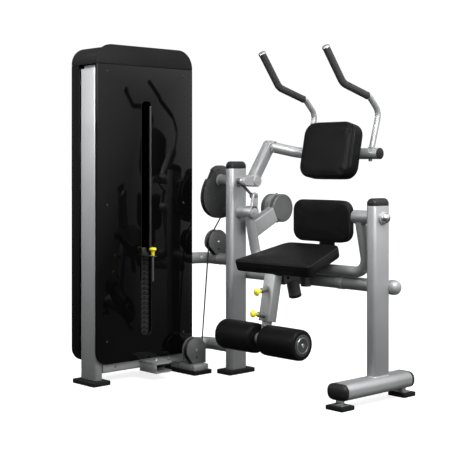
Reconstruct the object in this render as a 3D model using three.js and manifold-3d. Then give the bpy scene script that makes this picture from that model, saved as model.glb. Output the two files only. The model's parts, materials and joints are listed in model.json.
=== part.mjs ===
// Ab crunch machine: a weight tower, a two-post frame, a crunch arm with an upper back pad and handles,
// and a swinging seat yoke that the arm drives through a link rod. Millimetres, +Z up.
// The user sits facing -Y, and the weight tower is on the -X side.
import * as THREE from 'three';
import { mergeVertices } from 'three/addons/utils/BufferGeometryUtils.js';
import Module from 'manifold-3d';

const wasm = await Module();
wasm.setup();

// ---- Driving dimensions -------------------------------------------------------------------

const GAP = 0.3; // between pieces that touch
const USER_X = 5; // the user's centre plane

// Weight tower
const TOWER = { x0: -806, x1: -607, y0: -678, y1: -116, z0: 88, z1: 1520 };
const TOWER_CORNER = 85;
const TOWER_LOW_CORNER = 60;
const CAP_HEIGHT = 90;
const PANEL_THICKNESS = 14;
const SHROUD_DEPTH = 65;
const SHELL_WALL = 4;
const TOWER_POST = { width: 115, depth: 42, corner: 12 };
const TOWER_POST_X = -681;
const BASE_BEAM = { width: 50, height: 50, z0: 48 };
const FOOT_HEIGHT = 19;
const STACK_Y = -397; // the weight stack's centre line
const STACK_X = -682;
const PLATE = { depth: 106, length: 300, pitch: 22.5, groove: 1.6, count: 15, z0: 200 };
const STACK_TOP = PLATE.z0 + PLATE.count * PLATE.pitch;
const HEAD_TOP = STACK_TOP + 38;
const EYE_HEIGHT = 34; // cable eye above the head plate
const SELECTOR_X = -563;
const ROD_SPREAD = 118; // guide rod from the stack's centre line
const ROD_RADIUS = 11;
const SLOT = { width: 56, z0: 200, z1: 1272, corner: 20 };

// Frame posts and cross tubes
const POST_X = 428;
const POST = { width: 50, depth: 102, corner: 16 };
const LEFT_POST_TOP = 962;
const RIGHT_POST_TOP = 810;
const UPPER_LINK = { y: -5, z: 530, radius: 27 };
const LOWER_LINK = { y: 0, z: 118, radius: 29 };
const CROSS_TUBE = { y: 71, z: 467, radius: 28, x0: -452, x1: 484 };
const FOOT_BEAM = { width: 105, height: 66, corner: 28, z0: 38, y0: -242, y1: 165 };

// Pivots
const ARM_AXIS_Z = 905;
const YOKE_AXIS_Z = 760;
const ARM_HUB_RADIUS = 27;
const YOKE_HUB_RADIUS = 28.5;
const SHAFT_RADIUS = 14;
const SHAFT_CLEARANCE = 0.4;

// Cable run
const CABLE_X = -546;
const CABLE_RADIUS = 2.5;
const CAM_CABLE_RADIUS = 116; // from the arm's axis to the cable's centre line
const UPPER_PULLEY = { y: -20, z: 611, radius: 46 };
const LOWER_PULLEY = { y: -160, z: 111, radius: 48 };
const SIDE_PULLEY = { x: -580, y: -362, radius: 34, z: 63 };
const TOWER_PULLEY_RADIUS = 40;
const RISER_X = -762;

// Seat, pads and rollers
const SEAT_TILT = THREE.MathUtils.degToRad(14.5);
const PAD_TILT = THREE.MathUtils.degToRad(12);
const LEG_TILT = THREE.MathUtils.degToRad(11);
const ROLLER = { radius: 65, length: 212, gap: 48, y: -258, z: 235 };

// ---- Materials ----------------------------------------------------------------------------

const finish = (color, roughness, metalness) =>
  new THREE.MeshStandardMaterial({ color, roughness, metalness });
const SILVER = finish(0x9c9d9f, 0.38, 0.7);
const DARK_GREY = finish(0x5a5c5c, 0.5, 0.3);
const BLACK_PANEL = finish(0x060606, 0.08, 0.0);
const BLACK_PLASTIC = finish(0x161616, 0.6, 0.0);
const RUBBER = finish(0x1c1c1c, 0.85, 0.0);
const VINYL = finish(0x1d1d1d, 0.55, 0.0);
const GRIP_RUBBER = finish(0x3b3b3a, 0.75, 0.0);
const CHROME = finish(0xd8d8d8, 0.15, 1.0);
const STEEL = finish(0x8a8c8e, 0.35, 0.9);
const CAST = finish(0x2b2b2c, 0.6, 0.4);
const YELLOW = finish(0xe8d615, 0.35, 0.0);

// ---- Shape tools --------------------------------------------------------------------------

const machine = new THREE.Group();

function add(name, geometry, material) {
  const mesh = new THREE.Mesh(geometry, material.clone());
  mesh.name = name;
  machine.add(mesh);
  return mesh;
}

function toSolid(geometry) {
  const bare = geometry.clone();
  bare.deleteAttribute('normal');
  bare.deleteAttribute('uv');
  const merged = mergeVertices(bare, 1e-4);
  const vertProperties = new Float32Array(merged.attributes.position.array);
  const triVerts = new Uint32Array(merged.index.array);
  return new wasm.Manifold(new wasm.Mesh({ numProp: 3, vertProperties, triVerts }));
}

function toGeometry(solid) {
  const mesh = solid.getMesh();
  const geometry = new THREE.BufferGeometry();
  geometry.setAttribute('position', new THREE.BufferAttribute(mesh.vertProperties, 3));
  geometry.setIndex(new THREE.BufferAttribute(mesh.triVerts, 1));
  return geometry;
}

function join(first, ...others) {
  return toGeometry(others.reduce((solid, next) => solid.add(toSolid(next)), toSolid(first)));
}

function cut(first, ...tools) {
  return toGeometry(tools.reduce((solid, tool) => solid.subtract(toSolid(tool)), toSolid(first)));
}

const X_AXIS = new THREE.Vector3(1, 0, 0);
const Y_AXIS = new THREE.Vector3(0, 1, 0);
const Z_AXIS = new THREE.Vector3(0, 0, 1);
const vec = (x, y, z) => new THREE.Vector3(x, y, z);

// A round bar from one point to another.
function bar(from, to, radius, sides = 16) {
  const along = to.clone().sub(from);
  const geometry = new THREE.CylinderGeometry(radius, radius, along.length(), sides);
  geometry.applyQuaternion(new THREE.Quaternion().setFromUnitVectors(Y_AXIS, along.clone().normalize()));
  const middle = from.clone().add(to).multiplyScalar(0.5);
  return geometry.translate(middle.x, middle.y, middle.z);
}

// A round bar that runs along X.
const alongX = (x0, x1, y, z, radius, sides = 16) => bar(vec(x0, y, z), vec(x1, y, z), radius, sides);

// A turned piece: profile points are [radius, height] and run from the axis back to the axis.
function turned(profile, base, direction, sides = 20) {
  const points = profile.map(([radius, height]) => new THREE.Vector2(radius, height));
  const geometry = new THREE.LatheGeometry(points, sides);
  geometry.applyQuaternion(new THREE.Quaternion().setFromUnitVectors(Y_AXIS, direction));
  return geometry.translate(base.x, base.y, base.z);
}

// A flat outline given thickness along X (outline in Y, Z), Y (outline in X, Z) or Z (in X, Y).
function slab(outline, axis, from, to, curveSegments = 4) {
  const geometry = new THREE.ExtrudeGeometry(outline, {
    depth: to - from, bevelEnabled: false, curveSegments, steps: 1,
  });
  if (axis === 'x') {
    geometry.rotateX(Math.PI / 2).rotateZ(Math.PI / 2);
    return geometry.translate(from, 0, 0);
  }
  if (axis === 'y') {
    geometry.rotateX(Math.PI / 2);
    return geometry.translate(0, to, 0);
  }
  return geometry.translate(0, 0, from);
}

function roundedRect(cx, cy, width, height, radius) {
  const [x0, x1, y0, y1] = [cx - width / 2, cx + width / 2, cy - height / 2, cy + height / 2];
  const shape = new THREE.Shape();
  shape.moveTo(x0 + radius, y0);
  shape.lineTo(x1 - radius, y0);
  shape.absarc(x1 - radius, y0 + radius, radius, -Math.PI / 2, 0, false);
  shape.lineTo(x1, y1 - radius);
  shape.absarc(x1 - radius, y1 - radius, radius, 0, Math.PI / 2, false);
  shape.lineTo(x0 + radius, y1);
  shape.absarc(x0 + radius, y1 - radius, radius, Math.PI / 2, Math.PI, false);
  shape.lineTo(x0, y0 + radius);
  shape.absarc(x0 + radius, y0 + radius, radius, Math.PI, 1.5 * Math.PI, false);
  return shape;
}

function box(x0, x1, y0, y1, z0, z1) {
  const geometry = new THREE.BoxGeometry(x1 - x0, y1 - y0, z1 - z0);
  return geometry.translate((x0 + x1) / 2, (y0 + y1) / 2, (z0 + z1) / 2);
}

// Turns a geometry about an axis parallel to X through (y, z).
function turnX(geometry, angle, y, z) {
  return geometry.translate(0, -y, -z).rotateX(angle).translate(0, y, z);
}

// A path whose stations are given, so straight runs take no extra steps.
class StationPath extends THREE.Curve {
  constructor(stations, tangents) {
    super();
    this.stations = stations;
    this.tangents = tangents;
  }
  at(list, u) {
    return list[Math.round(u * (list.length - 1))].clone();
  }
  getPoint(t) {
    return this.at(this.stations, t);
  }
  getPointAt(u) {
    return this.at(this.stations, u);
  }
  getTangent(t) {
    return this.at(this.tangents, t);
  }
  getTangentAt(u) {
    return this.at(this.tangents, u);
  }
}

// A polyline with its corners rounded, as stations and tangents.
function bentPath(points, bendRadii, arcSteps) {
  const stations = [points[0].clone()];
  const tangents = [points[1].clone().sub(points[0]).normalize()];
  for (let i = 1; i < points.length - 1; i += 1) {
    const before = points[i].clone().sub(points[i - 1]).normalize();
    const after = points[i + 1].clone().sub(points[i]).normalize();
    const turn = before.angleTo(after);
    const radius = Array.isArray(bendRadii) ? bendRadii[i - 1] : bendRadii;
    const setback = radius * Math.tan(turn / 2);
    const start = points[i].clone().addScaledVector(before, -setback);
    const axis = before.clone().cross(after).normalize();
    const inward = axis.clone().cross(before);
    const centre = start.clone().addScaledVector(inward, radius);
    const steps = Math.max(2, Math.round(arcSteps * turn / (Math.PI / 2)));
    for (let k = 0; k <= steps; k += 1) {
      const spin = new THREE.Quaternion().setFromAxisAngle(axis, turn * k / steps);
      const arm = start.clone().sub(centre).applyQuaternion(spin);
      stations.push(centre.clone().add(arm));
      tangents.push(before.clone().applyQuaternion(spin));
    }
  }
  stations.push(points[points.length - 1].clone());
  tangents.push(tangents[tangents.length - 1].clone());
  return new StationPath(stations, tangents);
}

// A round tube along a path, filled.
function tubeAlong(path, radius, sides = 14) {
  const section = new THREE.Shape();
  for (let k = 0; k < sides; k += 1) {
    const angle = 2 * Math.PI * k / sides;
    const place = [radius * Math.cos(angle), radius * Math.sin(angle)];
    if (k === 0) section.moveTo(...place);
    else section.lineTo(...place);
  }
  section.closePath();
  return new THREE.ExtrudeGeometry(section, {
    extrudePath: path, steps: path.stations.length - 1, curveSegments: 1, bevelEnabled: false,
  });
}

const bentTube = (points, bend, radius, sides = 14, arcSteps = 5) =>
  tubeAlong(bentPath(points, bend, arcSteps), radius, sides);

// ---- Weight tower -------------------------------------------------------------------------

const capZ = TOWER.z1 - CAP_HEIGHT;

// The tower's side outline in Y, Z, shrunk by an inset and cut off at a height.
function towerOutline(inset, zTop) {
  const [y0, y1, z0] = [TOWER.y0 + inset, TOWER.y1 - inset, TOWER.z0 + inset];
  const low = TOWER_LOW_CORNER - inset;
  const shape = new THREE.Shape();
  shape.moveTo(y0 + low, z0);
  shape.lineTo(y1 - low, z0);
  shape.absarc(y1 - low, z0 + low, low, -Math.PI / 2, 0, false);
  shape.lineTo(y1, zTop);
  shape.lineTo(y0, zTop);
  shape.lineTo(y0, z0 + low);
  shape.absarc(y0 + low, z0 + low, low, Math.PI, 1.5 * Math.PI, false);
  return shape;
}

function capOutline(inset, z0) {
  const [y0, y1, z1] = [TOWER.y0 + inset, TOWER.y1 - inset, TOWER.z1 - inset];
  const high = TOWER_CORNER - inset;
  const shape = new THREE.Shape();
  shape.moveTo(y0, z0);
  shape.lineTo(y1, z0);
  shape.lineTo(y1, z1 - high);
  shape.absarc(y1 - high, z1 - high, high, 0, Math.PI / 2, false);
  shape.lineTo(y0 + high, z1);
  shape.absarc(y0 + high, z1 - high, high, Math.PI / 2, Math.PI, false);
  return shape;
}

function buildTowerShell() {
  const panelX = TOWER.x1 - PANEL_THICKNESS;
  const slot = roundedRect(STACK_Y, (SLOT.z0 + SLOT.z1) / 2, SLOT.width, SLOT.z1 - SLOT.z0, SLOT.corner);
  const panel = slab(towerOutline(0, capZ - GAP), 'x', panelX, TOWER.x1, 6);
  add('inner_panel', cut(panel, slab(slot, 'x', panelX - 5, TOWER.x1 + 5, 3)), BLACK_PANEL);

  const shroudX = TOWER.x0 + SHROUD_DEPTH;
  const shroud = slab(towerOutline(0, capZ - GAP), 'x', TOWER.x0, shroudX, 6);
  const hollow = slab(towerOutline(SHELL_WALL, capZ + 5), 'x', TOWER.x0 + SHELL_WALL, shroudX + 5, 6);
  const cableNotch = box(-780, shroudX + 5, STACK_Y - 16, STACK_Y + 16, TOWER.z0 - 5, TOWER.z0 + 12);
  add('outer_shroud', cut(shroud, hollow, cableNotch), BLACK_PANEL);

  const cap = slab(capOutline(0, capZ), 'x', TOWER.x0, TOWER.x1, 6);
  const room = slab(capOutline(SHELL_WALL, capZ - 5), 'x', TOWER.x0 + SHELL_WALL, TOWER.x1 - SHELL_WALL, 6);
  add('top_cap', cut(cap, room), BLACK_PLASTIC);
}

const frontPostY = TOWER.y0 + 4 + TOWER_POST.depth / 2;
const rearPostY = TOWER.y1 - 4 - TOWER_POST.depth / 2;
const crossheadZ = capZ - 20;
const TOP_PULLEY_Z = crossheadZ + 20;

function buildTowerFrame() {
  for (const [name, y] of [['tower_front_post', frontPostY], ['tower_rear_post', rearPostY]]) {
    const section = roundedRect(TOWER_POST_X, y, TOWER_POST.width, TOWER_POST.depth, TOWER_POST.corner);
    add(name, slab(section, 'z', FOOT_HEIGHT + GAP, crossheadZ - GAP), SILVER);
  }
  const inside = [frontPostY + TOWER_POST.depth / 2 + GAP, rearPostY - TOWER_POST.depth / 2 - GAP];
  const beamX = TOWER.x1 - PANEL_THICKNESS - 2 - BASE_BEAM.width / 2;
  const beamZ = BASE_BEAM.z0 + BASE_BEAM.height / 2;
  const beam = slab(roundedRect(beamX, beamZ, BASE_BEAM.width, BASE_BEAM.height, 8), 'y', ...inside, 2);
  const cableHole = bar(vec(-720, STACK_Y, SIDE_PULLEY.z), vec(-600, STACK_Y, SIDE_PULLEY.z), 7, 10);
  // The outrigger carries the lower pulley housing, and the ledge carries the weight stack.
  const outrigger = box(TOWER_POST_X + TOWER_POST.width / 2 + GAP, -497, -199, -112, FOOT_HEIGHT + GAP, 46);
  const heel = box(-670, -610, -199, inside[1], FOOT_HEIGHT + GAP, 46);
  const web = box(-670, -630, -199, inside[1], 44, 52);
  const ledge = box(-735, -629, STACK_Y - 140, STACK_Y + 140, 150, PLATE.z0 - GAP);
  const legAt = (y) => box(-671, -637, y - 15, y + 15, 90, 155);
  const legs = [-1, 1].map((side) => legAt(STACK_Y + side * 60));
  const upright = (y, z0, z1) => bar(vec(STACK_X, y, z0), vec(STACK_X, y, z1), ROD_RADIUS + GAP, 12);
  const rodFeet = [-1, 1].map((side) => upright(STACK_Y + side * ROD_SPREAD, 140, 205));
  add('base_beam', cut(join(beam, outrigger, heel, web, ledge, ...legs), cableHole, ...rodFeet), SILVER);

  const [headX0, headX1] = [TOWER_POST_X - 52, TOWER_POST_X + 52];
  const head = box(headX0, headX1, TOWER.y0 + 22, TOWER.y1 - 22, crossheadZ, crossheadZ + 40);
  const pulleyRoom = box(-790, -655, STACK_Y - 14, STACK_Y + 14, crossheadZ - 5, crossheadZ + 45);
  add('top_crosshead', cut(head, pulleyRoom, ...rodBores(crossheadZ - 5, crossheadZ + 20)), SILVER);

  add('tower_front_foot', slab(roundedRect(-671, -660, 162, 97, 6), 'z', 0, FOOT_HEIGHT, 2), RUBBER);
  add('tower_rear_foot', slab(roundedRect(-621, -150, 262, 111, 6), 'z', 0, FOOT_HEIGHT, 2), RUBBER);
}

function rodBores(z0, z1) {
  const clearance = (ROD_RADIUS + 0.5) / Math.cos(Math.PI / 8);
  return [-1, 1].map((side) => bar(
    vec(STACK_X, STACK_Y + side * ROD_SPREAD, z0), vec(STACK_X, STACK_Y + side * ROD_SPREAD, z1), clearance, 8,
  ));
}

function plateSlab(z0, z1, inset) {
  const [depth, length] = [PLATE.depth - 2 * inset, PLATE.length - 2 * inset];
  return slab(roundedRect(STACK_X, STACK_Y, depth, length, 8), 'z', z0, z1, 1);
}

// Plates lie on each other round a common core, with a groove between each two.
function buildStack() {
  const plates = [];
  for (let i = 0; i < PLATE.count; i += 1) {
    const z0 = PLATE.z0 + i * PLATE.pitch;
    plates.push(plateSlab(z0 + PLATE.groove / 2, z0 + PLATE.pitch - PLATE.groove / 2, 0));
  }
  const core = plateSlab(PLATE.z0 + PLATE.groove, STACK_TOP - PLATE.groove, 5);
  const bores = rodBores(PLATE.z0 - 5, STACK_TOP + 5);
  const stemBore = bar(vec(STACK_X, STACK_Y, PLATE.z0 - 5), vec(STACK_X, STACK_Y, STACK_TOP + 5), 15, 8);
  add('weight_stack', cut(join(core, ...plates), ...bores, stemBore), CAST);

  const pinY = STACK_Y + 2;
  const bracketZ = STACK_TOP + 22;
  // The selector pin is parked in a bracket that reaches out through the slot.
  const arm = box(-640, -545, pinY - 12, pinY + 12, bracketZ, bracketZ + 5);
  const legBack = box(-640, -624, pinY - 12, pinY + 12, bracketZ, bracketZ + 38);
  const pinHole = bar(vec(SELECTOR_X, pinY, bracketZ - 5), vec(SELECTOR_X, pinY, bracketZ + 10), 5.6, 12);
  const plate = join(plateSlab(STACK_TOP + GAP, HEAD_TOP, 0), arm, legBack);
  const headPlate = cut(plate, pinHole, ...rodBores(STACK_TOP - 5, HEAD_TOP + 5));
  const stem = bar(vec(STACK_X, STACK_Y, PLATE.z0 + 12), vec(STACK_X, STACK_Y, STACK_TOP + 10), 12.5, 12);
  const eye = bar(vec(STACK_X, STACK_Y, HEAD_TOP - 2), vec(STACK_X, STACK_Y, HEAD_TOP + EYE_HEIGHT), 11, 10);
  add('head_plate', join(headPlate, stem, eye), CAST);

  for (const [name, side] of [['guide_rod_front', -1], ['guide_rod_rear', 1]]) {
    const y = STACK_Y + side * ROD_SPREAD;
    const rod = bar(vec(STACK_X, y, 112), vec(STACK_X, y, crossheadZ + 18), ROD_RADIUS, 12);
    const foot = bar(vec(STACK_X, y, 112), vec(STACK_X, y, 149), 19, 12);
    add(name, join(rod, foot), CHROME);
  }

  const knobBase = bracketZ + 5 + GAP;
  add('selector_pin', turned([
    [0, -117], [3, -117], [5, -113], [5, -2], [5, 0], [8, 0],
    [8, 16], [12, 22], [17.5, 26], [17.5, 32], [11, 37], [0, 38],
  ], vec(SELECTOR_X, pinY, knobBase), Z_AXIS, 14), YELLOW);
}

// ---- Pulleys and their housings -----------------------------------------------------------

const PULLEY_WIDTH = 22;
const CHEEK_RADIUS = 59;

// A grooved pulley with a bore; radius is to the cable's centre line.
function pulley(radius, centre, direction) {
  const [rim, floor, half] = [radius + 7, radius - CABLE_RADIUS - 1.2, PULLEY_WIDTH / 2];
  const bore = 6.4;
  const geometry = new THREE.LatheGeometry([
    [bore, -half], [rim - 2, -half], [rim, -half + 2], [floor, -3], [floor, 3], [rim, half - 2],
    [rim - 2, half], [bore, half], [bore, -half],
  ].map(([r, h]) => new THREE.Vector2(r, h)), 18);
  geometry.applyQuaternion(new THREE.Quaternion().setFromUnitVectors(Y_AXIS, direction));
  return geometry.translate(centre.x, centre.y, centre.z);
}

function buildPulleys() {
  const towerPulleyX = RISER_X + TOWER_PULLEY_RADIUS;
  const towerPulleyZ = SIDE_PULLEY.z + TOWER_PULLEY_RADIUS;
  const wheels = [
    ['upper_pulley', UPPER_PULLEY.radius, vec(CABLE_X, UPPER_PULLEY.y, UPPER_PULLEY.z), X_AXIS],
    ['lower_pulley', LOWER_PULLEY.radius, vec(CABLE_X, LOWER_PULLEY.y, LOWER_PULLEY.z), X_AXIS],
    ['side_pulley', SIDE_PULLEY.radius, vec(SIDE_PULLEY.x, SIDE_PULLEY.y, SIDE_PULLEY.z), Z_AXIS],
    ['tower_pulley', TOWER_PULLEY_RADIUS, vec(towerPulleyX, STACK_Y, towerPulleyZ), Y_AXIS],
    ['top_pulley', TOWER_PULLEY_RADIUS, vec(towerPulleyX, STACK_Y, TOP_PULLEY_Z), Y_AXIS],
  ];
  wheels.forEach(([name, radius, centre, axis]) => add(name, pulley(radius, centre, axis), BLACK_PLASTIC));
}

// Two cheek plates on an axle, joined by a foot block; the outline is in Y, Z.
function cheeks(outline, axle, foot) {
  const half = PULLEY_WIDTH / 2 + 2;
  const near = slab(outline, 'x', CABLE_X + half, CABLE_X + half + 5, 6);
  const far = slab(outline, 'x', CABLE_X - half - 5, CABLE_X - half, 6);
  const pin = bar(vec(CABLE_X - half - 6, axle.y, axle.z), vec(CABLE_X + half + 6, axle.y, axle.z), 6, 12);
  return join(near, far, pin, foot);
}

function buildHousings() {
  const low = new THREE.Shape();
  low.moveTo(-180, 46 + GAP);
  low.lineTo(LOWER_PULLEY.y + CHEEK_RADIUS, 46 + GAP);
  low.absarc(LOWER_PULLEY.y, LOWER_PULLEY.z, CHEEK_RADIUS, 0, 1.1 * Math.PI, false);
  const lowFoot = box(CABLE_X - 17, CABLE_X + 17, -178, -120, 46 + GAP, 52);
  add('lower_pulley_housing', cheeks(low, LOWER_PULLEY, lowFoot), DARK_GREY);

  const high = new THREE.Shape();
  high.moveTo(-28, 548);
  high.lineTo(32, 548);
  high.absarc(UPPER_PULLEY.y, UPPER_PULLEY.z, CHEEK_RADIUS, 0, 1.1 * Math.PI, false);
  const saddle = box(CABLE_X - 17, CABLE_X + 17, -24, 22, 546, 556);
  const housing = cheeks(high, UPPER_PULLEY, saddle);
  const linkTube = alongX(-600, -450, UPPER_LINK.y, UPPER_LINK.z, UPPER_LINK.radius + GAP, 24);
  add('upper_pulley_housing', cut(housing, linkTube), DARK_GREY);

  // A low C-shaped bracket holds the side pulley against the base beam.
  const plate = new THREE.Shape();
  plate.moveTo(-622.5, -424);
  plate.lineTo(-500, -424);
  plate.absarc(-560, -364, 60, -0.35, 0.9, false);
  plate.lineTo(-622.5, -305);
  const top = slab(plate, 'z', 76, 81, 6);
  const under = slab(plate, 'z', 36, 40, 6);
  const front = box(-622.5, -505, -424, -419, 36, 81);
  const axle = bar(vec(SIDE_PULLEY.x, SIDE_PULLEY.y, 38), vec(SIDE_PULLEY.x, SIDE_PULLEY.y, 79), 6, 12);
  const bolt = bar(vec(SIDE_PULLEY.x, SIDE_PULLEY.y, 79), vec(SIDE_PULLEY.x, SIDE_PULLEY.y, 90), 9, 6);
  add('side_pulley_bracket', join(top, under, front, axle, bolt), DARK_GREY);
}

// ---- Two-post frame -----------------------------------------------------------------------

function domedCap(x, z0, height) {
  const section = (inset) =>
    roundedRect(x, 0, POST.width - 2 * inset, POST.depth - 2 * inset, POST.corner - inset);
  return join(
    slab(section(0), 'z', z0, z0 + height * 0.45, 3),
    slab(section(4), 'z', z0 + height * 0.3, z0 + height * 0.78, 3),
    slab(section(11), 'z', z0 + height * 0.6, z0 + height, 3),
  );
}

// A bore along X through a post for a pivot shaft.
const pivotBore = (x, z) => alongX(x - 40, x + 40, 0, z, SHAFT_RADIUS + SHAFT_CLEARANCE);

function buildFrame() {
  const postSection = (x) => roundedRect(x, 0, POST.width, POST.depth, POST.corner);
  const left = slab(postSection(-POST_X), 'z', 20 + GAP, LEFT_POST_TOP);
  add('left_post', cut(left, pivotBore(-POST_X, ARM_AXIS_Z), pivotBore(-POST_X, YOKE_AXIS_Z)), SILVER);
  add('left_post_cap', domedCap(-POST_X, LEFT_POST_TOP + GAP, 34), BLACK_PLASTIC);
  add('left_post_foot', slab(roundedRect(-POST_X, 0, 93, 166, 6), 'z', 0, 20, 2), RUBBER);

  const beamTop = FOOT_BEAM.z0 + FOOT_BEAM.height;
  const right = slab(postSection(POST_X), 'z', beamTop + GAP, RIGHT_POST_TOP);
  const boss = alongX(POST_X + 22, POST_X + 33, 0, YOKE_AXIS_Z, 25.5, 20);
  add('right_post', cut(join(right, boss), pivotBore(POST_X, YOKE_AXIS_Z)), SILVER);
  add('right_post_cap', domedCap(POST_X, RIGHT_POST_TOP + GAP, 31), BLACK_PLASTIC);

  const beamMidZ = FOOT_BEAM.z0 + FOOT_BEAM.height / 2;
  const beamSection = (inset) => roundedRect(
    POST_X, beamMidZ, FOOT_BEAM.width - 2 * inset, FOOT_BEAM.height - 2 * inset, FOOT_BEAM.corner - inset,
  );
  add('foot_beam', slab(beamSection(0), 'y', FOOT_BEAM.y0, FOOT_BEAM.y1, 5), SILVER);
  const ends = [['foot_beam_front_cap', FOOT_BEAM.y0, -1], ['foot_beam_rear_cap', FOOT_BEAM.y1, 1]];
  for (const [name, y, side] of ends) {
    const layer = (inset, from, to) => {
      const reach = [y + side * from, y + side * to].sort((a, b) => a - b);
      return slab(beamSection(inset), 'y', ...reach, 3);
    };
    add(name, join(layer(0, GAP, 14), layer(6, 10, 23), layer(14, 18, 28)), BLACK_PLASTIC);
  }
  for (const [name, y] of [['front_leveller', FOOT_BEAM.y0 + 4], ['rear_leveller', FOOT_BEAM.y1 - 6]]) {
    const pad = slab(roundedRect(POST_X, y, 92, 80, 8), 'z', 0, 17, 2);
    const plate = slab(roundedRect(POST_X, y, 60, 50, 5), 'z', 16, 21, 2);
    const stem = bar(vec(POST_X, y, 15), vec(POST_X, y, FOOT_BEAM.z0 - GAP), 17, 14);
    add(name, join(pad, plate, stem), RUBBER);
  }

  const innerSide = -POST_X - POST.width / 2 - GAP;
  // Both link tubes leave the tower's rear post and turn across to the left post.
  for (const [name, link] of [['upper_link_tube', UPPER_LINK], ['lower_link_tube', LOWER_LINK]]) {
    const start = vec(-650, rearPostY + TOWER_POST.depth / 2 + GAP, link.z);
    const points = [start, vec(-650, link.y, link.z), vec(innerSide, link.y, link.z)];
    add(name, bentTube(points, 60, link.radius, 16), SILVER);
  }

  const cross = turned([
    [0, 0], [CROSS_TUBE.radius, 0], [CROSS_TUBE.radius, CROSS_TUBE.x1 - CROSS_TUBE.x0 - 22],
    [CROSS_TUBE.radius * 0.88, CROSS_TUBE.x1 - CROSS_TUBE.x0 - 9],
    [CROSS_TUBE.radius * 0.5, CROSS_TUBE.x1 - CROSS_TUBE.x0 - 1], [0, CROSS_TUBE.x1 - CROSS_TUBE.x0],
  ], vec(CROSS_TUBE.x0, CROSS_TUBE.y, CROSS_TUBE.z), X_AXIS, 20);
  const collar = alongX(150, 186, CROSS_TUBE.y, CROSS_TUBE.z, 30.5, 20);
  const [postWidth, postDepth] = [POST.width + 2 * GAP, POST.depth + 2 * GAP];
  const postFaces = [-1, 1].map((side) => slab(
    roundedRect(side * POST_X, 0, postWidth, postDepth, POST.corner + GAP), 'z', 380, 560,
  ));
  add('cross_tube', cut(join(cross, collar), ...postFaces), SILVER);
}

// ---- Cable --------------------------------------------------------------------------------

// Where the cable leaves the cam: the line touches the cam circle and the far side of the pulley.
function camRun() {
  const across = UPPER_PULLEY.y;
  const down = UPPER_PULLEY.z - ARM_AXIS_Z;
  const reach = Math.hypot(across, down);
  const offset = Math.atan2(-across, -down);
  const slope = Math.acos((CAM_CABLE_RADIUS + UPPER_PULLEY.radius) / reach) - offset;
  const normal = vec(0, Math.sin(slope), -Math.cos(slope));
  return {
    slope,
    leave: vec(CABLE_X, 0, ARM_AXIS_Z).addScaledVector(normal, CAM_CABLE_RADIUS),
    meet: vec(CABLE_X, UPPER_PULLEY.y, UPPER_PULLEY.z).addScaledVector(normal, -UPPER_PULLEY.radius),
  };
}

// Points on a circle about `centre` from one angle to another, in a plane given by two axes.
function arcPoints(centre, radius, from, to, steps, u, v) {
  const stations = [];
  const tangents = [];
  const sense = Math.sign(to - from);
  for (let k = 0; k <= steps; k += 1) {
    const angle = from + (to - from) * k / steps;
    const [c, s] = [Math.cos(angle), Math.sin(angle)];
    stations.push(centre.clone().addScaledVector(u, radius * c).addScaledVector(v, radius * s));
    tangents.push(u.clone().multiplyScalar(-sense * s).addScaledVector(v, sense * c));
  }
  return { stations, tangents };
}

function buildCable() {
  const run = camRun();
  const upperStart = Math.atan2(run.meet.z - UPPER_PULLEY.z, run.meet.y - UPPER_PULLEY.y);
  const upperCentre = vec(CABLE_X, UPPER_PULLEY.y, UPPER_PULLEY.z);
  const lowerCentre = vec(CABLE_X, LOWER_PULLEY.y, LOWER_PULLEY.z);
  const sideCentre = vec(SIDE_PULLEY.x, SIDE_PULLEY.y, SIDE_PULLEY.z);
  const riserCentreX = RISER_X + TOWER_PULLEY_RADIUS;
  const towerCentre = vec(riserCentreX, STACK_Y, SIDE_PULLEY.z + TOWER_PULLEY_RADIUS);
  const topCentre = vec(riserCentreX, STACK_Y, TOP_PULLEY_Z);
  // The straight run between the pulleys passes from the front of one to the rear of the other.
  const between = lowerCentre.clone().sub(upperCentre);
  const lean = Math.atan2(-between.y, -between.z);
  const crossing = Math.asin((UPPER_PULLEY.radius + LOWER_PULLEY.radius) / between.length());
  const frontAngle = Math.PI - (crossing - lean);
  const parts = [
    { stations: [run.leave], tangents: [run.meet.clone().sub(run.leave).normalize()] },
    arcPoints(upperCentre, UPPER_PULLEY.radius, upperStart, frontAngle, 4, Y_AXIS, Z_AXIS),
    arcPoints(lowerCentre, LOWER_PULLEY.radius, frontAngle - Math.PI, -Math.PI / 2, 5, Y_AXIS, Z_AXIS),
    arcPoints(sideCentre, SIDE_PULLEY.radius, 0, -Math.PI / 2, 5, X_AXIS, Y_AXIS),
    arcPoints(towerCentre, TOWER_PULLEY_RADIUS, -Math.PI / 2, -Math.PI, 5, X_AXIS, Z_AXIS),
    arcPoints(topCentre, TOWER_PULLEY_RADIUS, Math.PI, 0, 8, X_AXIS, Z_AXIS),
  ];
  const stations = parts.flatMap((part) => part.stations);
  const tangents = parts.flatMap((part) => part.tangents);
  add('cable', tubeAlong(new StationPath(stations, tangents), CABLE_RADIUS, 8), STEEL);

  const dropFrom = vec(STACK_X, STACK_Y, HEAD_TOP + EYE_HEIGHT + GAP);
  const dropTo = vec(STACK_X, STACK_Y, TOP_PULLEY_Z - GAP);
  add('cable_drop', bar(dropFrom, dropTo, CABLE_RADIUS, 8), STEEL);
}

// ---- Crunch arm ---------------------------------------------------------------------------

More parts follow.
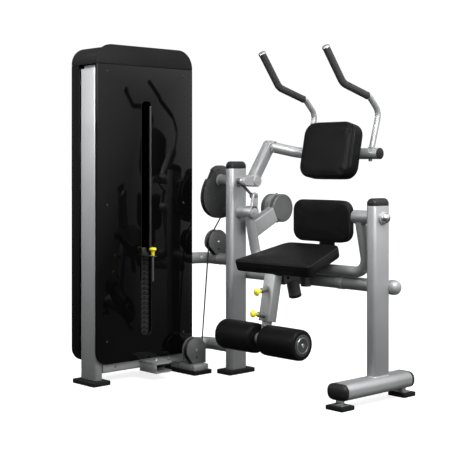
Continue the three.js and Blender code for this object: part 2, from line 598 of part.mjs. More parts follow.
// The two flanges of the cam, in Y, Z about the arm's axis.
function camOutline() {
  const shape = new THREE.Shape();
  shape.moveTo(-46, ARM_AXIS_Z + 46);
  shape.lineTo(-69, ARM_AXIS_Z + 4);
  shape.lineTo(-77, ARM_AXIS_Z + 8);
  shape.bezierCurveTo(-114, ARM_AXIS_Z - 45, -122, ARM_AXIS_Z - 105, -84, ARM_AXIS_Z - 147);
  shape.bezierCurveTo(-58, ARM_AXIS_Z - 172, -28, ARM_AXIS_Z - 181, 4, ARM_AXIS_Z - 181);
  shape.bezierCurveTo(70, ARM_AXIS_Z - 178, 136, ARM_AXIS_Z - 118, 142, ARM_AXIS_Z - 40);
  shape.bezierCurveTo(142, ARM_AXIS_Z + 10, 92, ARM_AXIS_Z + 60, 40, ARM_AXIS_Z + 62);
  shape.absarc(4, ARM_AXIS_Z, 72, 1.02, 2.42, false);
  return shape;
}

function buildCam() {
  const half = 13;
  const body = slab(camOutline(), 'x', CABLE_X - half, CABLE_X + half, 5);
  const slotFloor = CAM_CABLE_RADIUS - CABLE_RADIUS - 0.5;
  const ring = new THREE.Shape();
  const [from, to] = [-3.0, 0.35];
  ring.absarc(0, ARM_AXIS_Z, 215, from, to, false);
  ring.absarc(0, ARM_AXIS_Z, slotFloor, to, from, true);
  const groove = slab(ring, 'x', CABLE_X - 4, CABLE_X + 4, 18);
  const postOuter = -POST_X - POST.width / 2;
  const postInner = -POST_X + POST.width / 2;
  const hub = alongX(CABLE_X + half - 1, postOuter - GAP, 0, ARM_AXIS_Z, ARM_HUB_RADIUS, 20);
  const shaft = alongX(postOuter - 5, postInner + GAP, 0, ARM_AXIS_Z, SHAFT_RADIUS);
  add('cam', join(cut(body, groove), hub, shaft), DARK_GREY);

  const run = camRun();
  const leaveAngle = Math.atan2(run.leave.z - ARM_AXIS_Z, run.leave.y);
  const axis = vec(CABLE_X, 0, ARM_AXIS_Z);
  const wound = arcPoints(axis, CAM_CABLE_RADIUS, 0.3, leaveAngle + 0.02, 5, Y_AXIS, Z_AXIS);
  add('cam_cable', tubeAlong(new StationPath(wound.stations, wound.tangents), CABLE_RADIUS, 8), STEEL);
}

const ARM_TOP = { y: 112, z: 1072 };
const ARM_TUBE_X = -318;
const ARM_CROSS = { y: 252, z: 1030, x1: 238, radius: 25 };

function buildArm() {
  const hubX0 = -POST_X + POST.width / 2 + 2 * GAP;
  const hub = alongX(hubX0, -284, 0, ARM_AXIS_Z, ARM_HUB_RADIUS, 20);
  const rise = Math.atan2(ARM_TOP.z - ARM_AXIS_Z, ARM_TOP.y);
  const reach = Math.hypot(ARM_TOP.y, ARM_TOP.z - ARM_AXIS_Z);
  const blade = new THREE.Shape();
  blade.moveTo(0, -22);
  blade.lineTo(reach, -22);
  blade.absarc(reach, 0, 22, -Math.PI / 2, Math.PI / 2, false);
  blade.lineTo(0, 22);
  const upright = slab(blade, 'x', ARM_TUBE_X - 25, ARM_TUBE_X + 25, 5);
  upright.rotateX(rise).translate(0, 0, ARM_AXIS_Z);
  const top = vec(ARM_TUBE_X + 10, ARM_TOP.y - 4, ARM_TOP.z - 6);
  const tube = bentTube([top, vec(-226, 214, 1036), vec(-120, ARM_CROSS.y, ARM_CROSS.z),
    vec(ARM_CROSS.x1, ARM_CROSS.y, ARM_CROSS.z)], [120, 90], ARM_CROSS.radius, 16, 8);
  const lever = new THREE.Shape();
  lever.moveTo(0, ARM_AXIS_Z - 22);
  lever.lineTo(0, ARM_AXIS_Z + 22);
  lever.absarc(-LEVER.arm, ARM_AXIS_Z, 17, Math.PI / 2, 1.5 * Math.PI, false);
  const leverPlate = slab(lever, 'x', -300, -285, 5);
  add('arm_frame', join(hub, upright, tube, leverPlate), SILVER);
}

// A handle: an upright tube from the arm's cross tube, a bend, and two straight grip runs.
const HANDLE = { leftX: 180, rightX: -208, tube: 13, grip: 16.5, foot: 27 };
const handlePoints = (x) => [
  vec(x, 262, ARM_CROSS.z + HANDLE.foot), vec(x, 312, 1218), vec(x, 246, 1284),
  vec(x, 66, 1336), vec(x, -46, 1486),
];

function buildHandles() {
  for (const [name, x] of [['left', HANDLE.leftX], ['right', HANDLE.rightX]]) {
    const points = handlePoints(x);
    const path = bentPath(points, [55, 55, 60], 6);
    add(`${name}_handle`, tubeAlong(path, HANDLE.tube, 12), SILVER);
    const start = points[2].clone().lerp(points[3], 0.1);
    const gripPoints = [start, points[3], points[4].clone().lerp(points[3], 0.02)];
    const outer = bentTube(gripPoints, 60, HANDLE.grip, 14, 6);
    const innerStart = start.clone().lerp(points[3], -0.2);
    const innerEnd = points[4].clone().lerp(points[3], -0.1);
    const inner = bentTube([innerStart, points[3], innerEnd], 60, HANDLE.tube + GAP + 0.2, 12, 6);
    add(`${name}_grip`, cut(outer, inner), GRIP_RUBBER);
  }
}

// A cushion: a rounded outline with stepped soft edges; thickness runs along +Y from its face.
function cushion(cx, { z: cz, width, height, corner, y: face, thickness }) {
  const edge = 9;
  const layer = (inset, from, to) => slab(
    roundedRect(cx, cz, width - 2 * inset, height - 2 * inset, corner - inset), 'y', from, to, 4,
  );
  return join(layer(edge, face, face + 12), layer(0, face + edge, face + thickness));
}

const BACK_PAD = { width: 276, height: 248, corner: 62, thickness: 72, y: 150, z: 1050 };
const LUMBAR_PAD = { width: 330, height: 173, corner: 50, thickness: 45, y: 110, z: 727 };

function buildBackPad() {
  add('back_pad', turnX(cushion(USER_X, BACK_PAD), -PAD_TILT, BACK_PAD.y, BACK_PAD.z), VINYL);
  const back = BACK_PAD.y + BACK_PAD.thickness + GAP;
  const plate = slab(roundedRect(USER_X, BACK_PAD.z, 190, 120, 12), 'y', back, back + 6, 2);
  turnX(plate, -PAD_TILT, BACK_PAD.y, BACK_PAD.z);
  const tube = alongX(-150, 150, ARM_CROSS.y, ARM_CROSS.z, ARM_CROSS.radius + GAP, 24);
  add('back_pad_plate', cut(plate, tube), DARK_GREY);
}

// ---- Link rod between the arm's lever and the yoke's lever ---------------------------------

const LEVER = { arm: 78, yokeY: 10, yokeZ: 836 };
const LINK_X = -327;

function buildLink() {
  const top = vec(LINK_X, -LEVER.arm, ARM_AXIS_Z);
  const low = vec(LINK_X, LEVER.yokeY, LEVER.yokeZ);
  const eye = (centre) => bar(centre.clone().setX(LINK_X - 7), centre.clone().setX(LINK_X + 7), 14, 14);
  const topPin = bar(top.clone().setX(LINK_X), top.clone().setX(-300 - GAP), 8, 12);
  const lowPin = bar(low.clone().setX(LINK_X), low.clone().setX(-318 - GAP), 8, 12);
  add('link_rod', join(eye(top), eye(low), bar(top, low, 6.5, 12), topPin, lowPin), STEEL);
}

// ---- Seat yoke ----------------------------------------------------------------------------

const YOKE = { leftX: -340, rightX: 331, lowY: 55, lowZ: 520, radius: 23.5, bend: 72 };
const LEG = { x: 6, topY: -190, topZ: 500, width: 64, depth: 50, length: 196, hollowTop: -90 };
const SEAT = {
  frontY: -207, frontZ: 558, length: 278, frontHalf: 221, rearHalf: 152, thickness: 44, corner: 20,
};
const DRUM = { x0: -412, x1: -322, y: 213, z: 773, radius: 65.5 };

function buildYoke() {
  const hubGap = POST_X - POST.width / 2 - 2 * GAP;
  const between = (a, b, radius, sides) =>
    alongX(Math.min(a, b), Math.max(a, b), 0, YOKE_AXIS_Z, radius, sides);
  const hub = (side) => between(side * hubGap, side * 303, YOKE_HUB_RADIUS, 20);
  const axle = (side, outer) => between(side * (hubGap - 3), side * outer, SHAFT_RADIUS, 16);
  const legTop = YOKE_AXIS_Z - 14;
  const bends = [
    vec(YOKE.leftX, 3, legTop), vec(YOKE.leftX, YOKE.lowY, YOKE.lowZ),
    vec(YOKE.rightX, YOKE.lowY, YOKE.lowZ), vec(YOKE.rightX, 3, legTop),
  ];
  const tube = bentTube(bends, YOKE.bend, YOKE.radius, 16, 6);

  const lever = new THREE.Shape();
  const leverTop = LEVER.yokeZ;
  lever.moveTo(-20, YOKE_AXIS_Z);
  lever.lineTo(20, YOKE_AXIS_Z);
  lever.lineTo(LEVER.yokeY + 15, leverTop);
  lever.absarc(LEVER.yokeY, leverTop, 15, 0, Math.PI, false);
  const leverPlate = slab(lever, 'x', -318, -303, 5);

  // The counterweight's box tube leaves the left leg and rises rearwards.
  const [y0, z0] = [10, 672];
  const armLength = Math.hypot(DRUM.y - y0, DRUM.z - z0) - DRUM.radius - GAP;
  const weightArm = box(YOKE.leftX - 22, YOKE.leftX + 22, 0, armLength + 4, -38, 38);
  weightArm.rotateX(Math.atan2(DRUM.z - z0, DRUM.y - y0)).translate(0, y0, z0);
  const drumRoom = alongX(DRUM.x0 - 20, DRUM.x1 + 20, DRUM.y, DRUM.z, DRUM.radius + 1, 32);
  const nut = turned([
    [0, 0], [17, 0], [17, 6], [15, 6], [14, 14], [9, 20], [0, 22],
  ], vec(POST_X + 33 + GAP, 0, YOKE_AXIS_Z), X_AXIS, 16);
  const outer = POST_X + POST.width / 2 + GAP;
  const stub = between(-outer - 42, -outer, 26, 18);
  const axles = [axle(-1, outer + 10), axle(1, POST_X + 40), stub];
  const frame = join(hub(-1), hub(1), tube, leverPlate, cut(weightArm, drumRoom), ...axles, nut);
  add('yoke_frame', frame, SILVER);

  const drum = turned([
    [0, 0], [DRUM.radius - 3, 0], [DRUM.radius, 3], [DRUM.radius, 27], [DRUM.radius - 1.5, 29],
    [DRUM.radius - 1.5, 61], [DRUM.radius, 63], [DRUM.radius, 87], [DRUM.radius - 3, 90], [0, 90],
  ], vec(DRUM.x0, DRUM.y, DRUM.z), X_AXIS, 28);
  add('counterweight', drum, DARK_GREY);
}

// Places a piece made about the seat's front top edge: x across, y back along the seat, z up from it.
function onSeat(geometry) {
  return geometry.rotateX(SEAT_TILT).translate(USER_X, SEAT.frontY, SEAT.frontZ);
}

function seatOutline(inset) {
  const [front, rear, length] = [SEAT.frontHalf - inset, SEAT.rearHalf - inset, SEAT.length - inset];
  const shape = new THREE.Shape();
  shape.moveTo(-front + SEAT.corner, inset);
  shape.lineTo(front - SEAT.corner, inset);
  shape.quadraticCurveTo(front, inset, front - 1, inset + SEAT.corner);
  shape.lineTo(rear + 14, length - 70);
  shape.quadraticCurveTo(rear, length, rear - 60, length);
  shape.lineTo(-rear + 60, length);
  shape.quadraticCurveTo(-rear, length, -rear - 14, length - 70);
  shape.lineTo(-front + 1, inset + SEAT.corner);
  shape.quadraticCurveTo(-front, inset, -front + SEAT.corner, inset);
  return shape;
}

const SEAT_POST = { y: 112, radius: 20, sleeve: 28, sleeveEnd: -190 };

function buildSeat() {
  const pad = join(
    slab(seatOutline(0), 'z', -SEAT.thickness, -7, 5),
    slab(seatOutline(7), 'z', -10, 0, 5),
  );
  add('seat_pad', onSeat(pad), VINYL);

  const plateZ = -SEAT.thickness - GAP;
  const plate = slab(roundedRect(0, 145, 190, 170, 14), 'z', plateZ - 8, plateZ, 2);
  const post = (z0, z1, radius, sides) => bar(vec(0, SEAT_POST.y, z0), vec(0, SEAT_POST.y, z1), radius, sides);
  const stem = post(SEAT_POST.sleeveEnd + 8, plateZ - 4, SEAT_POST.radius, 14);
  add('seat_post', onSeat(join(plate, stem)), STEEL);

  // The carrier's box beam runs from the leg tube back to the yoke's bottom tube.
  const beam = onSeat(box(-30, 30, 26, 236, -110, -60));
  const sleeve = onSeat(post(SEAT_POST.sleeveEnd, -58, SEAT_POST.sleeve, 18));
  const bore = onSeat(post(SEAT_POST.sleeveEnd + 7, -40, SEAT_POST.radius + 0.8, 18));
  const stopBlock = bar(vec(USER_X, 18, 440), vec(USER_X, 18, 535), 23, 16);
  const yokeRoom = alongX(-200, 200, YOKE.lowY, YOKE.lowZ, YOKE.radius + GAP, 32);
  const crossRoom = alongX(-200, 200, CROSS_TUBE.y, CROSS_TUBE.z, CROSS_TUBE.radius + 2, 32);
  const [legHalf, legDeep] = [LEG.width / 2 + GAP, LEG.depth / 2 + GAP];
  const leg = legSpace(box(-legHalf, legHalf, -legDeep, legDeep, -260, 120));
  add('seat_carrier', cut(join(beam, sleeve, stopBlock), bore, yokeRoom, crossRoom, leg), DARK_GREY);

  const back = LUMBAR_PAD.y + LUMBAR_PAD.thickness + GAP;
  add('lumbar_pad', cushion(USER_X, LUMBAR_PAD), VINYL);
  const strap = new THREE.Shape();
  strap.moveTo(back, 790);
  strap.lineTo(back, 612);
  strap.lineTo(YOKE.lowY + 8, YOKE.lowZ + 20);
  strap.lineTo(YOKE.lowY + 16, YOKE.lowZ + 12);
  strap.lineTo(back + 6, 607);
  strap.lineTo(back + 6, 790);
  add('lumbar_bracket', cut(slab(strap, 'x', USER_X - 45, USER_X + 45), yokeRoom), DARK_GREY);
}

// ---- Leg tube, rollers and pins -----------------------------------------------------------

// Places a piece made about the leg tube's top centre: y is across its depth, z along it.
function legSpace(geometry) {
  return geometry.rotateX(-LEG_TILT).translate(LEG.x, LEG.topY, LEG.topZ);
}

const LEG_BAR = { width: 34, depth: 30 };
const LEG_TRAVEL = 50;
const POP_PINS = [{ z: -58, tilt: 0.35 }, { z: -172, tilt: 0 }];
const POP_PIN = { barrel: 11, plunger: 5 };

// Turns a piece made on the leg tube's front face down about its own root.
const atPin = (geometry, pin) => turnX(geometry, pin.tilt, -LEG.depth / 2, pin.z);

function popPin(pin) {
  const knob = turned([
    [0, -8], [4.5, -8], [4.5, 41], [6, 41], [6, 54], [10, 59], [15, 62], [15, 68], [9, 74], [0, 75],
  ], vec(0, -LEG.depth / 2, pin.z), vec(0, -1, 0), 12);
  return legSpace(atPin(knob, pin));
}

function buildLeg() {
  const shell = slab(roundedRect(0, 0, LEG.width, LEG.depth, 6), 'z', -LEG.length, 4, 2);
  const barSection = roundedRect(0, 0, LEG_BAR.width + 1, LEG_BAR.depth + 1, 3);
  const hollow = slab(barSection, 'z', -LEG.length - 5, LEG.hollowTop, 2);
  const face = -LEG.depth / 2;
  const across = (pin, from, to, radius) =>
    atPin(bar(vec(0, face + from, pin.z), vec(0, face + to, pin.z), radius, 12), pin);
  const barrels = POP_PINS.map((pin) => across(pin, 4, -38, POP_PIN.barrel));
  const bores = POP_PINS.map((pin) => across(pin, 9.2, -45, POP_PIN.plunger));
  add('leg_tube', legSpace(cut(join(shell, ...barrels), hollow, ...bores)), SILVER);
  POP_PINS.forEach((pin, i) => add(['upper_pop_pin', 'lower_pop_pin'][i], popPin(pin), YELLOW));

  const axleZ = (ROLLER.z - LEG.topZ) / Math.cos(LEG_TILT) - 4;
  const barTop = LEG.hollowTop - 5;
  const core = slab(roundedRect(0, 0, LEG_BAR.width, LEG_BAR.depth, 3), 'z', axleZ - 6, barTop, 2);
  // The lower pin's plunger runs in this slot, so the bar can slide by its adjustment.
  const pinSlot = box(-6.5, 6.5, -40, 0, POP_PINS[1].z - 7, POP_PINS[1].z + 7 + LEG_TRAVEL);
  const body = legSpace(cut(core, pinSlot));
  const reach = ROLLER.gap / 2 + ROLLER.length;
  const collarHalf = ROLLER.gap / 2 - 2;
  const axle = alongX(LEG.x - reach + 2, LEG.x + reach - 2, ROLLER.y, ROLLER.z, 12, 14);
  const collar = alongX(LEG.x - collarHalf, LEG.x + collarHalf, ROLLER.y, ROLLER.z, 26, 18);
  add('leg_bar', join(body, axle, collar), SILVER);

  for (const [name, side] of [['left_roller', 1], ['right_roller', -1]]) {
    const start = vec(LEG.x + side * ROLLER.gap / 2, ROLLER.y, ROLLER.z);
    const [r, length] = [ROLLER.radius, ROLLER.length];
    const roller = new THREE.LatheGeometry([
      [12.6, 0], [r - 14, 0], [r - 4, 4], [r, 14], [r, length - 14], [r - 4, length - 4],
      [r - 14, length], [12.6, length], [12.6, 0],
    ].map(([a, b]) => new THREE.Vector2(a, b)), 24);
    roller.applyQuaternion(new THREE.Quaternion().setFromUnitVectors(Y_AXIS, vec(side, 0, 0)));
    add(name, roller.translate(start.x, start.y, start.z), VINYL);
  }
}

// ---- Assembly -----------------------------------------------------------------------------

buildTowerShell();
buildTowerFrame();
buildStack();
buildPulleys();
buildHousings();
buildFrame();
buildCable();
buildCam();
buildArm();
buildHandles();
buildBackPad();
buildLink();
buildYoke();
buildSeat();
buildLeg();

// The origin is on the floor under the middle of the machine.
const extent = new THREE.Box3().setFromObject(machine, true);
const middle = extent.getCenter(new THREE.Vector3());
machine.position.set(-middle.x, -middle.y, -extent.min.z);

export default machine;
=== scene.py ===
"""Ab crunch machine: the visual model over the CAD frame.

Lengths below are in millimetres, in the CAD drawing's own axes: +Z up, Y zero in the plane of the two
posts, X zero midway between them. SHIFT takes that place to the row frame.
"""
import json
import math

import bmesh
import bpy
from mathutils import Matrix, Quaternion, Vector
from mathutils.bvhtree import BVHTree
from mathutils.kdtree import KDTree


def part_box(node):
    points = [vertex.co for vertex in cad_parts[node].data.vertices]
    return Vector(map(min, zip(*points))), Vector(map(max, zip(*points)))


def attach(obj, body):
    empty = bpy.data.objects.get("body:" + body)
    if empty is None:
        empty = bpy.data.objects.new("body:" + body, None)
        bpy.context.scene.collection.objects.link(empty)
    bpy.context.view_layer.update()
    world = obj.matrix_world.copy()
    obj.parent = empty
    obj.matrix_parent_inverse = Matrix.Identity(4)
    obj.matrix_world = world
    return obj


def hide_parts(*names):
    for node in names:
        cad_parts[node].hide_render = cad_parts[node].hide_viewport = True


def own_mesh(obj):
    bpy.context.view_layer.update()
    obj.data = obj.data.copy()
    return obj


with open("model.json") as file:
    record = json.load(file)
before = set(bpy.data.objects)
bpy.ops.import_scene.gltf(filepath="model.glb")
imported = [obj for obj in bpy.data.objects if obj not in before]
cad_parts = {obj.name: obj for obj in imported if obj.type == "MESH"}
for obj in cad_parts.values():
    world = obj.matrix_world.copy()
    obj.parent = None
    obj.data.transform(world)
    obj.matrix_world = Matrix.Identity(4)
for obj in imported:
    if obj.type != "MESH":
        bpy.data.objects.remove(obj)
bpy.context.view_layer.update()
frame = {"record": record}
scene = bpy.context.scene

RECORD = frame["record"]
BODY_OF = {n: b for b, nodes in RECORD["behaviour"]["bodies"].items() for n in nodes}

post_low, post_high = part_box("left_post")
POST_X = 428.0
SHIFT = Vector((
    (post_low.x + post_high.x) / 2 + POST_X / 1000,
    (post_low.y + post_high.y) / 2,
    0.0,
))

# ---- Camera ----

camera_data = bpy.data.cameras.new("camera")
camera_data.sensor_width = 36.0
camera_data.lens = 87.6
camera_data.shift_y = -0.136
camera = bpy.data.objects.new("camera", camera_data)
camera.location = (3.499, -3.38055, 0.981)
camera.rotation_euler = (math.radians(90), 0.0, math.radians(47))
scene.collection.objects.link(camera)
scene.camera = camera

# ---- Materials ----


def finish(name, colour, rough, metal=0.0, mottle=0.08, mottle_scale=9.0, rough_spread=0.06,
           grain_scale=900.0, grain=0.05, grain_kind="noise", specular=0.5, coat=0.0):
    """A procedural finish: a slow colour drift, uneven gloss, and a fine surface grain."""
    material = bpy.data.materials.new(name)
    material.use_nodes = True
    nodes, links = material.node_tree.nodes, material.node_tree.links
    shader = nodes["Principled BSDF"]
    shader.inputs["Metallic"].default_value = metal
    shader.inputs["Specular IOR Level"].default_value = specular
    shader.inputs["Coat Weight"].default_value = coat
    shader.inputs["Coat Roughness"].default_value = 0.12
    place = nodes.new("ShaderNodeTexCoord")

    def noise(scale, detail):
        node = nodes.new("ShaderNodeTexNoise")
        node.inputs["Scale"].default_value = scale
        node.inputs["Detail"].default_value = detail
        links.new(place.outputs["Object"], node.inputs["Vector"])
        return node.outputs["Fac"]

    ramp = nodes.new("ShaderNodeValToRGB")
    ramp.color_ramp.elements[0].position = 0.3
    ramp.color_ramp.elements[1].position = 0.7
    for element, share in zip(ramp.color_ramp.elements, (1 - mottle, 1 + mottle)):
        element.color = (*[min(1.0, c * share) for c in colour], 1.0)
    links.new(noise(mottle_scale, 5.0), ramp.inputs["Fac"])
    links.new(ramp.outputs["Color"], shader.inputs["Base Color"])

    gloss = nodes.new("ShaderNodeMapRange")
    gloss.inputs["To Min"].default_value = max(0.02, rough - rough_spread)
    gloss.inputs["To Max"].default_value = min(1.0, rough + rough_spread)
    links.new(noise(mottle_scale * 6, 4.0), gloss.inputs["Value"])
    links.new(gloss.outputs["Result"], shader.inputs["Roughness"])

    if grain_kind == "leather":
        pattern = nodes.new("ShaderNodeTexVoronoi")
        pattern.feature = "DISTANCE_TO_EDGE"
        height = pattern.outputs["Distance"]
    elif grain_kind == "wire":
        pattern = nodes.new("ShaderNodeTexWave")
        pattern.bands_direction = "DIAGONAL"
        pattern.inputs["Distortion"].default_value = 0.4
        height = pattern.outputs["Fac"]
    else:
        pattern = nodes.new("ShaderNodeTexNoise")
        pattern.inputs["Detail"].default_value = 3.0
        height = pattern.outputs["Fac"]
    pattern.inputs["Scale"].default_value = grain_scale
    links.new(place.outputs["Object"], pattern.inputs["Vector"])
    bump = nodes.new("ShaderNodeBump")
    bump.inputs["Strength"].default_value = grain
    bump.inputs["Distance"].default_value = 0.0006
    links.new(height, bump.inputs["Height"])
    links.new(bump.outputs["Normal"], shader.inputs["Normal"])
    return material


SILVER = finish("silver_paint", (0.36, 0.365, 0.37), 0.47, metal=0.60, mottle=0.05, rough_spread=0.04,
                grain_scale=300, grain=0.012)
LIGHT_SILVER = finish("light_silver", (0.46, 0.46, 0.47), 0.46, metal=0.6, mottle=0.04, rough_spread=0.04,
                      grain_scale=300, grain=0.012)
GREY = finish("grey_paint", (0.050, 0.051, 0.052), 0.42, metal=0.4, mottle=0.12, grain=0.14, specular=0.3)
MID_GREY = finish("mid_grey_paint", (0.15, 0.152, 0.153), 0.40, metal=0.5, mottle=0.08, grain=0.12,
                  specular=0.3)
PANEL = finish("panel_gloss", (0.0020, 0.0020, 0.0022), 0.05, mottle=0.15, rough_spread=0.02,
               grain=0.008, specular=0.20)
CAP = finish("cap_plastic", (0.0065, 0.0065, 0.007), 0.5, mottle=0.16, grain_scale=700, grain=0.3,
             specular=0.10)
PLASTIC = finish("black_plastic", (0.011, 0.011, 0.0115), 0.46, mottle=0.15, grain_scale=800, grain=0.25,
                 specular=0.25)
RUBBER = finish("foot_rubber", (0.009, 0.009, 0.0092), 0.8, mottle=0.2, grain_scale=500, grain=0.5,
                specular=0.15)
VINYL = finish("vinyl", (0.0055, 0.0056, 0.0058), 0.36, mottle=0.2, rough_spread=0.07, grain_scale=430,
               grain=0.34, grain_kind="leather", specular=0.07)
PIPING = finish("piping", (0.016, 0.016, 0.0165), 0.45, mottle=0.1, grain_scale=900, grain=0.2, specular=0.12)
GRIP = finish("grip_rubber", (0.036, 0.037, 0.036), 0.75, mottle=0.06, grain_scale=400, grain=0.06,
              specular=0.15)
CHROME = finish("chrome", (0.6, 0.6, 0.61), 0.24, metal=1.0, mottle=0.03, rough_spread=0.04, grain=0.02)
STEEL = finish("turned_steel", (0.42, 0.43, 0.44), 0.3, metal=0.95, mottle=0.06, grain=0.1)
DARK_STEEL = finish("dark_steel", (0.07, 0.07, 0.073), 0.38, metal=0.85, mottle=0.12, grain=0.12)
WIRE = finish("wire_rope", (0.030, 0.030, 0.032), 0.45, metal=0.5, grain_kind="wire", grain_scale=380,
              grain=0.3)
CAST = finish("cast_plates", (0.020, 0.020, 0.021), 0.66, metal=0.0, specular=0.25, mottle=0.18,
              grain_scale=420, grain=0.5)
YELLOW = finish("yellow_knob", (0.80, 0.70, 0.025), 0.33, mottle=0.05, grain=0.05, coat=0.3)
# Painted shade: a near-black that fills holes, an open tube end and the gap under the top cap, in place of
# the shadow inside them.
GAP_SHADE = finish("painted_gap_shade", (0.004, 0.004, 0.004), 0.8, mottle=0.2, specular=0.1)

# ---- Shapes: each is (points, faces), in millimetres ----

SIDES = 48


def loft(rings, closed=False, caps=True):
    """A skin over rings of equal point counts."""
    count = len(rings[0])
    points = [p for ring in rings for p in ring]
    faces = []
    last = len(rings) if closed else len(rings) - 1
    for i in range(last):
        a, b = i * count, (i + 1) % len(rings) * count
        faces += [(a + k, a + (k + 1) % count, b + (k + 1) % count, b + k) for k in range(count)]
    if caps and not closed:
        faces.append(tuple(reversed(range(count))))
        faces.append(tuple((len(rings) - 1) * count + k for k in range(count)))
    return points, faces


def across(direction):
    """Two unit vectors square to a direction."""
    helper = Vector((0, 0, 1)) if abs(direction.z) < 0.9 else Vector((0, 1, 0))
    u = direction.cross(helper).normalized()
    return u, direction.cross(u).normalized()


def circle(centre, u, v, radius, sides=SIDES):
    steps = [2 * math.pi * k / sides for k in range(sides)]
    return [centre + u * (radius * math.cos(t)) + v * (radius * math.sin(t)) for t in steps]


def lathe(profile, base, direction, sides=SIDES, closed=False):
    """A turned piece; profile points are (radius, height)."""
    d = Vector(direction).normalized()
    u, v = across(d)
    base = Vector(base)
    rings = [circle(base + d * h, u, v, max(r, 0.05), sides) for r, h in profile]
    return loft(rings, closed)


def rod(a, b, radius, edge=1.0):
    """A round bar with softened ends."""
    a, b = Vector(a), Vector(b)
    length = (b - a).length
    edge = min(edge, radius * 0.5, length * 0.4)
    profile = [(radius - edge, 0), (radius - edge * 0.3, edge * 0.3), (radius, edge),
               (radius, length - edge), (radius - edge * 0.3, length - edge * 0.3), (radius - edge, length)]
    return lathe(profile, a, b - a)


def filleted(points, bends, degrees_per_step=4.0):
    """A polyline with its corners rounded to the given bend radii."""
    points = [Vector(p) for p in points]
    path = [points[0]]
    for i in range(1, len(points) - 1):
        before = (points[i] - points[i - 1]).normalized()
        after = (points[i + 1] - points[i]).normalized()
        turn = before.angle(after)
        radius = bends[i - 1]
        start = points[i] - before * (radius * math.tan(turn / 2))
        axis = before.cross(after).normalized()
        centre = start + axis.cross(before) * radius
        steps = max(3, int(math.degrees(turn) / degrees_per_step))
        for k in range(steps + 1):
            path.append(centre + Quaternion(axis, turn * k / steps) @ (start - centre))
    path.append(points[-1])
    return path


def tube(path, radius, sides=SIDES, edge=1.2):
    """A round tube along a path, with softened ends."""
    directions = []
    for i in range(len(path)):
        a, b = path[max(i - 1, 0)], path[min(i + 1, len(path) - 1)]
        directions.append((b - a).normalized())
    u = across(directions[0])[0]
    rings = []
    for i, (p, d) in enumerate(zip(path, directions)):
        u = (u - d * u.dot(d)).normalized()
        v = d.cross(u)
        if i == 0:
            rings.append(circle(p, u, v, radius - edge, sides))
            p = p + d * edge
        if i == len(path) - 1:
            rings.append(circle(p - d * edge, u, v, radius, sides))
            rings.append(circle(p, u, v, radius - edge, sides))
        else:
            rings.append(circle(p, u, v, radius, sides))
    return loft(rings)


def arc(cx, cy, radius, start, end, steps=16):
    """Points on an arc in a plane."""
    turns = [start + (end - start) * k / steps for k in range(steps + 1)]
    return [(cx + radius * math.cos(t), cy + radius * math.sin(t)) for t in turns]


def rounded(cx, cy, width, height, radius, steps=8):
    """A rounded rectangle's outline."""
    x, y = width / 2 - radius, height / 2 - radius
    quarter = math.pi / 2
    corners = [(cx + x, cy - y, -1), (cx + x, cy + y, 0), (cx - x, cy + y, 1), (cx - x, cy - y, 2)]
    return [p for px, py, q in corners for p in arc(px, py, radius, q * quarter, (q + 1) * quarter, steps)]


def neighbour(outline, i, sense):
    """The nearest point along an outline, either way, that isn't the same place again."""
    k = 1
    while math.dist(outline[(i + sense * k) % len(outline)], outline[i]) < 1e-6 and k < len(outline):
        k += 1
    return outline[(i + sense * k) % len(outline)]


def inset(outline, distance):
    """The outline moved inwards; it runs anticlockwise."""
    out = []
    for i, (x, y) in enumerate(outline):
        a, b = neighbour(outline, i, -1), neighbour(outline, i, 1)
        before = Vector((x - a[0], y - a[1])).normalized()
        after = Vector((b[0] - x, b[1] - y)).normalized()
        n1, n2 = Vector((-before.y, before.x)), Vector((-after.y, after.x))
        n = (n1 + n2)
        n = n.normalized() if n.length > 1e-6 else n1
        stretch = min(1.6, 1 / max(0.4, n.dot(n1)))
        out.append((x + n.x * distance * stretch, y + n.y * distance * stretch))
    return out


def lifted(outline, axis, height):
    """A flat outline placed in space, square to an axis."""
    if axis == "x":
        return [Vector((height, a, b)) for a, b in outline]
    if axis == "y":
        return [Vector((a, height, b)) for a, b in outline]
    return [Vector((a, b, height)) for a, b in outline]


def stacked(outline, axis, levels):
    """A skin over copies of an outline; levels are (height, inset)."""
    return loft([lifted(inset(outline, d) if d else outline, axis, h) for h, d in levels])


def plate(outline, axis, low, high, edge=1.2):
    """A flat piece with softened edges."""
    edge = min(edge, (high - low) * 0.45)
    return stacked(outline, axis, [
        (low, edge), (low + edge * 0.3, edge * 0.3), (low + edge, 0),
        (high - edge, 0), (high - edge * 0.3, edge * 0.3), (high, edge),
    ])


def block(x0, x1, y0, y1, z0, z1, edge=1.2, corner=2.0):
    outline = rounded((x0 + x1) / 2, (y0 + y1) / 2, x1 - x0, y1 - y0, corner, 3)
    return plate(outline, "z", z0, z1, edge)


def moved(shape, matrix):
    points, faces = shape
    return [matrix @ p for p in points], faces


def about_x(angle, y, z):
    """A turn about an axis along X through (y, z)."""
    pivot = Vector((0, y, z))
    return Matrix.Translation(pivot) @ Matrix.Rotation(angle, 4, "X") @ Matrix.Translation(-pivot)


def hex_bolt(centre, direction, radius=9.0, height=6.0):
    """A washer with a hexagon head on it."""
    c, d = Vector(centre), Vector(direction).normalized()
    washer = lathe([(radius * 1.25, 0), (radius * 1.3, 0.5), (radius * 1.25, 1.6), (radius, 1.6)], c, d)
    head = lathe([(radius, 0), (radius, height - 1), (radius - 1.4, height)], c + d * 1.4, d, 6)
    return washer, head


def socket_bolt(centre, direction, radius=7.0, height=5.0):
    """A round head with a socket in it."""
    return lathe([(radius, 0), (radius, height - 1.4), (radius - 1.4, height), (radius * 0.5, height),
                  (radius * 0.46, height - 2.6), (0, height - 2.6)], centre, direction, 32)


